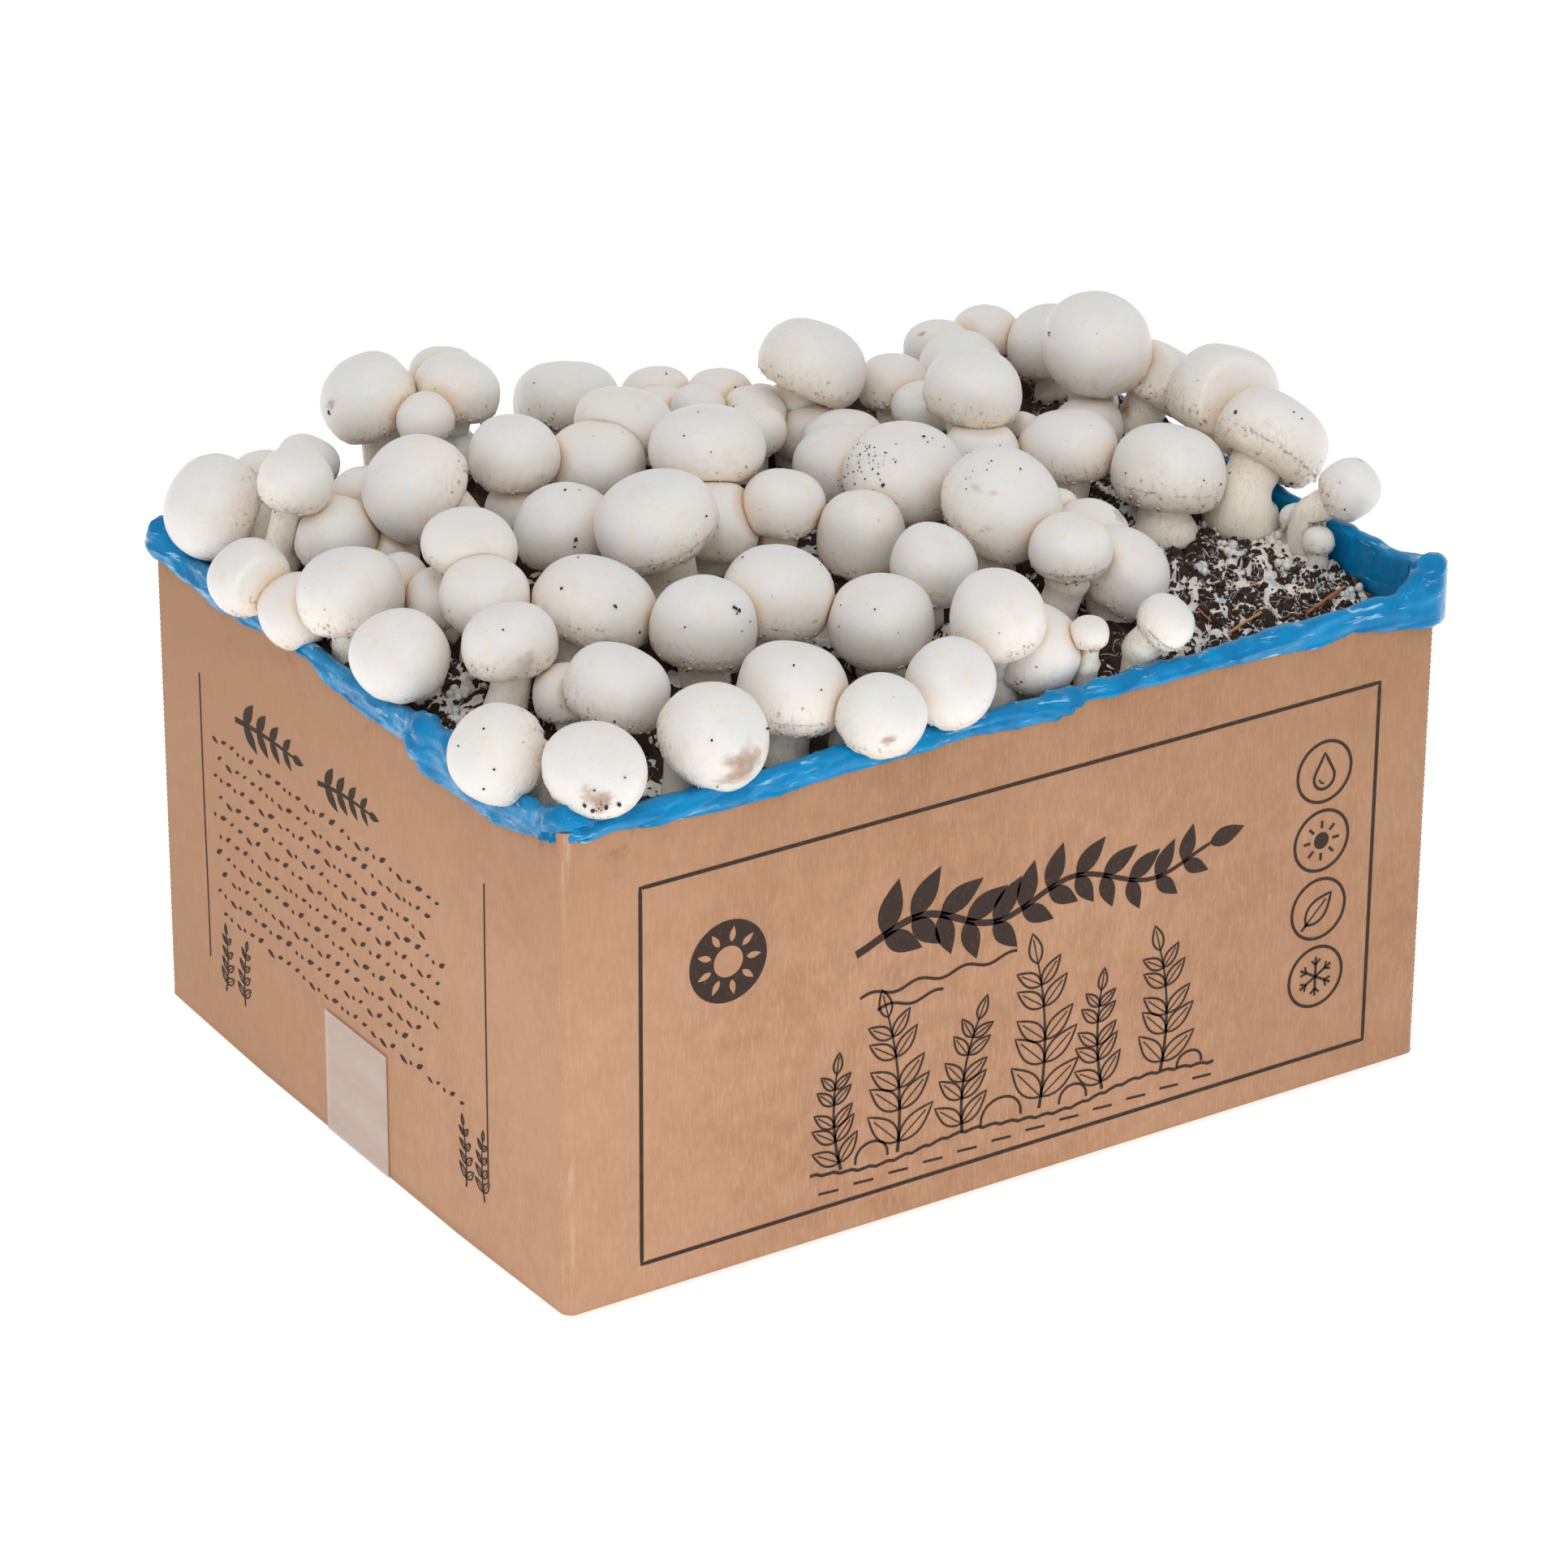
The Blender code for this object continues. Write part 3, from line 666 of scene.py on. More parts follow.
class Print:
    # Draws on one face of the carton. Across runs to the right and up is up, as one who faces it sees them
    def __init__(self, heap, face):
        self.heap = heap
        along, out = sideWays(sideNames.index(face))
        self.along, self.out = np.append(along, 0), np.append(out, 0)
        self.far = carton["short"] / 2 if face in ("front", "back") else carton["long"] / 2

    def onBoard(self, flat, lift):
        flat = np.asarray(flat, float)
        places = self.along * flat[:, :1] + self.out * self.far + np.array((0, 0, 1)) * flat[:, 1:]
        return places + self.out * (boardShift(places)[:, None] + lift)

    def shape(self, outline, kind=0, lift=0.0):
        # A filled shape from its outline, anticlockwise
        count = len(outline)
        low = ink["lift"] + lift
        points = np.concatenate([self.onBoard(outline, low), self.onBoard(outline, low + ink["thick"])])
        around = np.arange(count)
        after = (around + 1) % count
        edges = np.stack([around, after, after + count, around + count], -1)
        self.heap.add(points, [around[None, ::-1], around[None] + count, edges], kind)

    def line(self, path, width, closed=False, kind=0, lift=0.0):
        # A stroke of even width, or with a width for each of the path's points
        path = np.asarray(path, float)
        widths = np.broadcast_to(np.asarray(width, float), len(path))
        if closed:
            path = np.concatenate([path, path[:1]])
            widths = np.append(widths, widths[0])
        lengths = np.linalg.norm(np.diff(path, axis=0), axis=1)
        finer, wide = [], []
        for start, end, one, other, length in zip(path[:-1], path[1:], widths[:-1], widths[1:], lengths):
            count = max(1, math.ceil(length / ink["step"]))
            shares = np.arange(count) / count
            finer.append(start + (end - start) * shares[:, None])
            wide.append(one + (other - one) * shares)
        path = np.concatenate([*finer, path[-1:]])
        widths = np.append(np.concatenate(wide), widths[-1])
        if closed:
            path, widths = path[:-1], widths[:-1]
            ways = np.roll(path, -1, axis=0) - np.roll(path, 1, axis=0)
        else:
            ways = np.gradient(path, axis=0)
        ways = unit(ways, 1e-9)
        aside = np.column_stack([-ways[:, 1], ways[:, 0]]) * widths[:, None] / 2
        low = ink["lift"] + lift
        high = low + ink["thick"]
        left, right = path + aside, path - aside
        corners = (right, low), (right, high), (left, high), (left, low)
        points = np.stack([self.onBoard(*corner) for corner in corners], 1).reshape(-1, 3)
        last = (len(path) - 1) * 4
        if closed:
            around = np.arange(4)
            after = (around + 1) % 4
            ends = np.stack([last + around, last + after, after, around], -1)
        else:
            ends = np.array([[0, 1, 2, 3], [last + 3, last + 2, last + 1, last]])
        self.heap.add(points, [np.concatenate([gridFaces(len(path), 4), ends])[:, ::-1]], kind)

    def disc(self, across, up, radius, kind=0, lift=0.0, count=40):
        self.shape(circle(across, up, radius, count), kind, lift)

    def ring(self, across, up, radius, width):
        self.line(circle(across, up, radius, 44), width, True)

    def leaf(self, across, up, turn, length, wide, filled=True, line=0.9, kind=0, lift=0.0):
        # A pointed leaf from its foot; turn is in degrees from the way right
        shares = np.linspace(0, 1, 9)
        bow = wide / 2 * np.sin(math.pi * shares**0.8)
        upper = np.column_stack([length * shares, bow])
        lower = np.column_stack([length * shares, -bow])[1:-1]
        outline = np.concatenate([lower, upper[::-1]])
        spin = math.radians(turn)
        turned = outline @ np.array([[math.cos(spin), math.sin(spin)], [-math.sin(spin), math.cos(spin)]])
        turned += (across, up)
        if filled:
            self.shape(turned, kind, lift)
        else:
            self.line(turned, line, True, kind, lift)
            tip = (across + length * 0.8 * math.cos(spin), up + length * 0.8 * math.sin(spin))
            self.line([(across, up), tip], line * 0.6, False, kind, lift)

    def sprig(self, across, up, turn, length, pairs, leafLong, filled=True, line=1.0, bend=0.0):
        # A stalk with pairs of leaves, the leaves smaller toward its tip
        count = 14
        step = length / (count - 1)
        spins = np.radians(turn + bend * np.linspace(0, 1, count))
        stalk = np.cumsum(np.column_stack([np.cos(spins), np.sin(spins)]) * step, axis=0)
        stalk = stalk - (math.cos(spins[0]) * step, math.sin(spins[0]) * step) + (across, up)
        self.line(stalk, line * np.linspace(1.3, 0.6, count))
        for number in range(pairs):
            share = (number + 0.8) / (pairs + 0.4)
            foot = stalk[int(share * (count - 1))]
            spin = turn + bend * share
            size = leafLong * (1 - 0.45 * share)
            for side in (-1, 1):
                self.leaf(*foot, spin + side * 48, size, size * 0.42, filled, line * 0.8)
        self.leaf(*stalk[-1], turn + bend, leafLong * 0.6, leafLong * 0.26, filled, line * 0.8)


def drawSign(sheet, across, up, kind):
    # A round sign with one plain motif: a drop, a sun, a leaf or a star of frost
    sheet.ring(across, up, longFace["signRadius"], 1.3)
    if kind == "drop":
        bend = np.linspace(math.radians(150), math.radians(390), 15)
        belly = np.column_stack([across + 5 * np.cos(bend), up - 2.5 + 5 * np.sin(bend)])
        sheet.line(np.concatenate([belly, [(across, up + 8)]]), 1.2, True)
        sheet.line([(across - 2.4, up - 3), (across - 1.4, up - 4.6), (across, up - 5)], 0.8)
    elif kind == "sun":
        sheet.disc(across, up, 3.6, count=20)
        for turn in range(0, 360, 45):
            sheet.line([wayAt(turn) * 5.4 + (across, up), wayAt(turn) * 8.6 + (across, up)], 1.2)
    elif kind == "leaf":
        sheet.leaf(across - 6, up - 6, 45, 17, 9, False, 1.1)
        sheet.line([(across - 8, up - 8), (across - 5, up - 5)], 1.2)
    else:
        for turn in (30, 90, 150):
            way = wayAt(turn)
            sheet.line([way * -8.5 + (across, up), way * 8.5 + (across, up)], 1.1)
            for end in (-1, 1):
                foot = way * 5.2 * end + (across, up)
                for side in (-45, 45):
                    barb = wayAt(turn + (0 if end > 0 else 180) + side)
                    sheet.line([foot, foot + barb * 3.0], 0.9)


longFace = {
    "frame": (-167.1, 15.7, 172.4, 173.2),
    "frameLine": 1.6,
    "garland": ((-72, 120), (-42, 129), (-8, 117), (28, 127), (64, 116), (92, 124)),
    "waves": ((101, -70, 72), (94, -62, 30)),  # height, start and length
    "badge": (-129, 133),
    "badgeRadius": 17,
    "badgeSun": 6.4,
    "ground": ((-92, 31), (-60, 27), (-20, 30), (24, 26), (62, 30), (98, 27)),
    # place across, turn, length and bend
    "ferns": ((-78, 106, 42, -24), (-52, 84, 60, 20), (-22, 98, 48, -30), (14, 80, 64, 22),
              (44, 104, 44, -22), (72, 78, 54, 26)),
    "pebbles": ((-64, 30, 15, 8), (-4, 30, 19, 10), (30, 29, 13, 7), (86, 29, 12, 6)),  # place, width, height
    "dashes": range(-88, 96, 16),
    "signsAt": 147,
    "signs": (("drop", 141), ("sun", 111), ("leaf", 81), ("frost", 51)),
    "signRadius": 13.0,
}


def drawLongFace(sheet):
    left, low, right, high = longFace["frame"]
    sheet.line([(left, low), (right, low), (right, high), (left, high)], longFace["frameLine"], True)
    # Bold garland with two wavy lines under it
    garland = smoothCurve(longFace["garland"], 40)
    sheet.line(garland, 3.0 * np.linspace(1.1, 0.5, 40))
    for number in range(3, 38, 3):
        foot = garland[number]
        way = garland[number + 1] - garland[number]
        spin = math.degrees(math.atan2(way[1], way[0]))
        size = 24 - 0.22 * number
        sheet.leaf(*foot, spin + 52, size, size * 0.46)
        sheet.leaf(*foot, spin - 50, size * 0.86, size * 0.40)
    sheet.leaf(*garland[-1], 12, 17, 8)
    for row, start, length in longFace["waves"]:
        span = np.linspace(0, length, 60)
        sheet.line(np.column_stack([start + span, row + 1.3 * np.sin(span / 3.4)]), 1.2)
    # Round badge with a bare sun
    across, up = longFace["badge"]
    sheet.disc(across, up, longFace["badgeRadius"])
    sheet.disc(across, up, longFace["badgeSun"], 1, 0.08, 24)
    for turn in range(0, 360, 40):
        spin = math.radians(turn)
        sheet.leaf(across + 8 * math.cos(spin), up + 8 * math.sin(spin), turn, 6.4, 2.6, kind=1, lift=0.08)
    # Drawn ground with ferns and pebbles
    ground = smoothCurve(longFace["ground"], 70)
    sheet.line(ground + np.column_stack([np.zeros(70), 0.5 * np.sin(np.arange(70) * 2.1)]), 1.3)
    for across, turn, length, bend in longFace["ferns"]:
        sheet.sprig(across, 30, turn, length, 5, length * 0.36, False, 1.1, bend)
    for across, up, wide, tall in longFace["pebbles"]:
        angles = np.linspace(0, math.pi, 12)
        arch = np.column_stack([across + wide / 2 * np.cos(angles), up + tall * np.sin(angles) ** 0.8])
        sheet.line(arch, 1.1)
    for across in longFace["dashes"]:
        sheet.line([(across, 22), (across + 9, 21.4)], 1.0)
    for kind, up in longFace["signs"]:
        drawSign(sheet, longFace["signsAt"], up, kind)


shortFace = {
    # place, turn, length, pairs of leaves, length of a leaf, filled, line, bend
    "sprigs": ((-92, 151, 8, 46, 4, 15, True, 1.8, -10), (-26, 150, 12, 40, 4, 13, True, 1.6, -14)),
    "leafRows": 10,
    "firstRow": 136,
    "rowPitch": 8.6,
    "rowStart": -112,
    "rowEnd": 84,
    "rules": (-121, 101),
    "ferns": ((-108, 74, 24), (-92, 96, -20), (84, 84, 18), (98, 104, -22)),  # place across, turn and bend
}


def drawShortFace(sheet):
    for sprig in shortFace["sprigs"]:
        sheet.sprig(*sprig)
    shaker = random.Random(11)
    for row in range(shortFace["leafRows"]):
        up = shortFace["firstRow"] - row * shortFace["rowPitch"]
        across = shortFace["rowStart"] + (row % 2) * 4
        reach = shortFace["rowEnd"] - shaker.uniform(0, 40)
        while across < reach:
            size = shaker.uniform(3.4, 6.0)
            if shaker.random() < 0.25:
                sheet.disc(across, up, 0.9, count=8)
                across += 4.4
            else:
                sheet.leaf(across, up, shaker.choice((18, -18, 32)), size, size * 0.36)
                across += size + 2.6
    for across in shortFace["rules"]:
        sheet.line([(across, 34), (across, 160)], 0.9)
    for across, turn, bend in shortFace["ferns"]:
        sheet.sprig(across, 24, turn, 26, 4, 8, False, 0.8, bend)


def makePrint(inkMaterial, bareMaterial):
    for name, face, draw in (
        ("printFront", "front", drawLongFace), ("printBack", "back", drawLongFace),
        ("printLeft", "left", drawShortFace), ("printRight", "right", drawShortFace),
    ):
        heap = Heap()
        draw(Print(heap, face))
        heap.build(name, [inkMaterial, bareMaterial], smooth=False)
    print("print made")


def inkMaterials():
    made, graph = newMaterial("ink")
    patches = graph.noise(graph.places(), 2.0, 4.0, 0.7)
    colour = graph.mix(patches.step(0.5, 0.75) * 0.35, kraft["ink"], kraft["inkWorn"])
    graph.surface({"Base Color": colour, "Roughness": 0.75, "Specular IOR Level": 0.25})
    return made, plainMaterial("bare board")


tapeFilm = {
    "thin": (0.68, 0.54, 0.46),
    "thick": (0.80, 0.68, 0.60),
    "cover": 0.42,
    "coverMore": 0.16,
}


def tapeMaterial():
    made, graph = newMaterial("clear tape")
    places = graph.places()
    haze = graph.noise(graph.stretched(places, (1, 0.3, 1)), 12.0, 3.0, 0.6)
    graph.surface({
        "Base Color": graph.mix(haze, tapeFilm["thin"], tapeFilm["thick"]),
        "Roughness": 0.22 + haze * 0.2,
        "Alpha": tapeFilm["cover"] + haze * tapeFilm["coverMore"],
        "Normal": graph.bump(graph.noise(places, 18.0, 2.0), 0.3, 0.5),
    })
    return made


# Liner: a film bag inside the carton, with its mouth folded over the rim
liner = {
    "step": 1.72,
    "thick": 0.25,
    "pathInset": 1.9,
    "pathCorner": 9.0,
    "cornerSteps": 12,
    "foldRadius": 3.1,
    "foldRows": 12,
    "bandRows": 12,
    "puff": 0.7,
    "cornerOut": 0.6,
    "flat": (1.39, 0.365),
    "floorLevel": 8.6,
    "floorRings": (0.3, 0.65, 0.9),
    # Rows inside the carton, from the floor up: height, and share of the wrinkles
    "wallSet": -2.9,
    "wall": ((8.7, 0), (14, 0), (60, 0), (110, 0), (150, 0), (168, 0.1), (178, 0.2), (184, 0.35), (189, 0.5),
             (193, 0.7), (196.5, 0.85), (199.5, 0.9)),
    "creaseDepth": 2.3,
    "ruffleDepth": 1.3,
    "clear": 2.35,  # what the film keeps from the middle of the board, on both of its sides
    # Height of the fold and of the hem at places along each side, from left to right for one who faces it
    "top": {
        "front": ((-197, 211), (-184, 208.6), (-170, 206.5), (-110, 206.5), (-78, 207.5), (-42, 205.5),
                  (93, 205.6), (131, 206.5), (162, 208.7), (170, 209.3), (180, 207.3), (190, 212)),
        "right": ((-157, 213), (-112, 213), (-67, 213), (-22, 214), (22, 215), (67, 214), (112, 211),
                  (157, 208)),
        "back": ((-200, 208), (-160, 207), (-120, 206), (-80, 206), (-40, 207), (0, 206), (40, 206),
                 (80, 207), (120, 208), (160, 208), (200, 210)),
        "left": ((-149, 212), (-129, 206), (-111, 208), (-66, 206), (-17, 205.7), (32, 206), (57, 208.5),
                 (81, 210), (100, 208), (120, 207.5), (145, 208)),
    },
    "hem": {
        "front": ((-200, 199.5), (-191, 198.5), (-178, 200), (-166, 198), (-152, 197.3), (-128, 196),
                  (-110, 196.4), (-93, 197.2), (-64, 198), (-45, 198.3), (-20, 198.6), (2, 196.5),
                  (17, 196.5), (28, 200.9), (55, 199.5), (93, 199), (116, 197.8), (131, 196.8), (147, 196),
                  (157, 198.6), (167, 196.6), (175, 194.3), (185, 194.4)),
        "right": ((-157, 193), (-112, 191), (-67, 190), (-22, 193), (22, 196), (67, 198), (112, 196),
                  (157, 194)),
        "back": ((-200, 196), (-160, 197), (-120, 199), (-80, 198), (-40, 196), (0, 195), (40, 197),
                 (80, 198), (120, 198), (160, 197), (200, 196)),
        "left": ((-155, 199.5), (-143, 200.6), (-129, 198), (-108, 195), (-83, 197), (-63, 199), (-39, 200.7),
                 (-28, 201.7), (-18, 197.4), (1, 196), (13, 194.7), (32, 196.3), (44, 197.5), (53, 200),
                 (56, 194), (62, 190.6), (80, 189.5), (104, 189.2), (127, 192.2), (145, 197.5)),
    },
    # Places with more crumple: side, place along it, half width, how far it stands out and how much it rises
    "bunches": (
        ("left", 55, 9, 1.6, 0), ("left", 150, 14, 0.5, 0), ("front", 194, 12, 3.4, 4),
        ("right", -152, 12, 4, 4), ("front", -195, 12, 0.4, 0), ("front", 23, 7, 0.9, 0),
        ("left", -150, 12, 2, 2), ("back", -196, 12, 1.5, 1), ("back", 196, 10, 1.5, 1),
    ),
}


def sideStart(side):
    # Distance round the rim at which a side's own measure is 0
    long, short = carton["long"], carton["short"]
    starts = (long / 2, long + short / 2, long * 1.5 + short, long * 2 + short * 1.5)
    return starts[sideNames.index(side)]


def rimPath():
    # Places round the rim with their outward way, their distance round it and a share of 1 at the corners
    long, short = carton["long"], carton["short"]
    inset, corner = liner["pathInset"], liner["pathCorner"]
    stations = []
    for number, side in enumerate(sideNames):
        flat, far = (long / 2, short / 2) if number % 2 == 0 else (short / 2, long / 2)
        along, out = sideWays(number)
        half = flat - inset - corner
        for place in np.linspace(-half, half, round(2 * half / liner["step"]) + 1):
            stations.append((*(along * place + out * (far - inset)), *out, sideStart(side) + place, 0.0))
        for share in np.linspace(0, 1, liner["cornerSteps"])[1:-1]:
            bend = math.radians(90 * share)
            way = out * math.cos(bend) + along * math.sin(bend)
            middle = along * half + out * (far - inset - corner)
            travel = sideStart(side) + half + (flat - half) * 2 * share
            stations.append((*(middle + way * corner), *way, travel, math.sin(2 * bend)))
    stations = np.array(stations)
    return stations[:, :2], stations[:, 2:4], stations[:, 4], stations[:, 5]


def roundRim(table, travel):
    # Values at distances round the rim from a table by side, with soft steps
    whole = 2 * (carton["long"] + carton["short"])
    keys = [(sideStart(side) + place, value) for side, row in table.items() for place, value in row]
    keys = np.array(sorted(keys))
    finer = np.arange(0, whole, 0.5)
    values = np.interp(finer, keys[:, 0], keys[:, 1], period=whole)
    spread = np.exp(-(np.arange(-8, 9) * 0.5) ** 2 / (2 * 1.2**2))
    padded = np.concatenate([values[-8:], values, values[:8]])
    values = np.convolve(padded, spread / spread.sum(), mode="valid")
    return np.interp(travel, finer, values, period=whole)


def awayRound(travel, place):
    whole = 2 * (carton["long"] + carton["short"])
    return np.abs((travel - place + whole / 2) % whole - whole / 2)


def linerRows(top, hem):
    # From the floor up, over the rim and down to the hem, each row with its outward place from the path,
    # its height, its share of the wrinkles and its share of the bunches
    radius, crest = liner["foldRadius"], top - liner["foldRadius"]
    rows = [(liner["wallSet"], height + 0 * top, wrinkle, 0) for height, wrinkle in liner["wall"]]
    for turn in np.linspace(0, 180, liner["foldRows"]):
        bend = math.radians(turn)
        away, rise = math.cos(bend), math.sin(bend)
        rows.append((-radius * away, crest + radius * rise, 1.0, 0.5 - 0.5 * away))
    for share in np.linspace(0, 1, liner["bandRows"] + 1)[1:]:
        bulge = liner["puff"] * math.sin(math.pi * min(share * 1.15, 1))
        rows.append((radius + bulge, crest + (hem - crest) * share, 1.0, 1.0 - 0.3 * share))
    rows.append((radius - 0.35, hem - 0.25, 0.8, 0.6))
    rows.append((radius - 0.75, hem + 0.6, 0.6, 0.5))
    return rows


def slantedCreases(flat, lean, size, seed):
    places = np.stack([flat[..., 1] + lean * flat[..., 0], flat[..., 0] * 0.12, flat[..., 2] * 0], -1)
    return creases(places, size, seed) ** 3


def filmRelief(flat, crumple):
    # Long folds run with the rim, and slanting ones cross them here and there
    soft = lumps(flat * (1, 0.8, 0), 12.0, 21) * 0.5 + lumps(flat * (1, 0.7, 0), 5.0, 22) * 0.22
    along = creases(flat * (0.10, 1, 0), 4.2, 23) ** 2
    rising, falling = slantedCreases(flat, 0.42, 4.6, 24), slantedCreases(flat, -0.30, 5.4, 25)
    here = smoothStep(lumps(flat * (1, 0.2, 0), 30.0, 26), -0.25, 0.35)
    sharp = along * 0.75 + rising * 0.8 * here - falling * 0.6 * (1 - here)
    ruffle = creases(flat * (1, 0.25, 0), 3.4, 27) ** 2 * 0.9
    return soft + sharp * liner["creaseDepth"] + ruffle * liner["ruffleDepth"] * crumple


def makeLiner(material):
    base, ways, travel, cornerShare = rimPath()
    count = len(travel)
    top, hem = roundRim(liner["top"], travel), roundRim(liner["hem"], travel)
    out, crumple = np.zeros(count), np.zeros(count)
    for side, place, half, stands, rises in liner["bunches"]:
        share = np.exp(-((awayRound(travel, sideStart(side) + place) / half) ** 2))
        out += stands * share
        top = top + rises * share
        crumple += share
    out += liner["cornerOut"] * cornerShare
    crumple = np.minimum(crumple + 0.2 * cornerShare, 1.6)
    rows = linerRows(top, hem)
    places, heights, wrinkles, takes = zip(*rows)
    wrinkles, takes = np.array(wrinkles)[:, None], np.array(takes)[:, None]
    grid = np.stack([
        np.column_stack([base + ways * place, height]) for place, height in zip(places, heights)
    ])
    rowNumbers = np.arange(len(rows))[:, None] * 1.0
    flat = np.stack(np.broadcast_arrays(travel[None], grid[..., 2], rowNumbers), -1)
    relief = filmRelief(flat, crumple) * wrinkles * (0.8 + 0.5 * crumple)
    outward = grid[..., :2] - base
    size = np.linalg.norm(outward, axis=-1, keepdims=True) + 1e-6
    upper = np.clip((grid[..., 2] - (top - liner["foldRadius"])) / liner["foldRadius"], 0, 1)
    grid[..., :2] += outward / size * (relief * (1 - 0.6 * upper))[..., None]
    grid[..., 2] += relief * upper * 0.9
    grid[..., :2] += ways * (takes * out)[..., None]
    # The band stays outside the board, and the bag inside it
    side = ((grid[..., :2] - base) * ways).sum(-1)
    least = np.where(takes > 0.75, liner["clear"], -9.0)
    grid[..., :2] += ways * np.maximum(least - side, 0)[..., None]
    most = np.where((takes < 0.2) & (grid[..., 2] < 204), -liner["clear"], 9.0)
    grid[..., :2] -= ways * np.maximum(side - most, 0)[..., None]
    level = liner["floorLevel"]
    floor = [
        np.column_stack([grid[0, :, :2] * share, np.full(count, level)])
        for share in liner["floorRings"]
    ]
    points = np.concatenate([*floor, grid.reshape(-1, 3), [(0, 0, level)]])
    total = len(floor) + len(rows)
    faces = [gridFaces(total, count)[:, ::-1], fanFaces(0, count, total * count)[:, ::-1]]
    piece = makePiece("linerFilm", points, faces, [material])
    shell = piece.modifiers.new("film", "SOLIDIFY")
    shell.thickness = liner["thick"] * mm
    shell.offset = -1
    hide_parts("liner")
    print("liner made")
    return np.column_stack([base, top])


film = {
    "dark": (0.0, 0.17, 0.40),
    "light": (0.0, 0.25, 0.55),
    "crease": (0.02, 0.34, 0.66),
    # The next colour is that of the painted highlight streaks
    "stretched": (0.42, 0.70, 0.92),
    "shine": (0.3, 0.7, 1.0),
}


def filmMaterial():
    made, graph = newMaterial("blue film")
    places = graph.places()
    cloud = graph.noise(places, 16.0, 3.0, 0.55)
    crease = graph.noise(graph.stretched(places, (1, 1, 0.5)), 5.0, 4.0, 0.6)
    fine = graph.noise(graph.stretched(places, (1, 1, 0.6)), 2.2, 3.0, 0.6)
    # Fine pale streaks: painted highlights along the folds
    highlightPatches = graph.noise(places, 20.0, 2.0).step(0.48, 0.60)
    highlightStreak = graph.noise(graph.stretched(places, (0.11, 0.11, 0.8)), 1.3, 3.0, 0.6).step(0.58, 0.66)
    colour = graph.coats(
        graph.mix(cloud.step(0.3, 0.7), film["dark"], film["light"]),
        (crease.step(0.60, 0.74) * 0.3, film["crease"]),
        # Painted highlight streaks
        (highlightStreak * highlightPatches * 0.7, film["stretched"]),
    )
    graph.surface({
        "Base Color": colour,
        "Roughness": 0.10 + cloud * 0.10,
        "Specular IOR Level": 0.42,
        "Specular Tint": film["shine"],
        "Coat Weight": 0.14,
        "Coat Roughness": 0.08,
        "Normal": graph.bump(crease * 1.0 + fine * 0.4, 0.9, 0.6),
    })
    return made


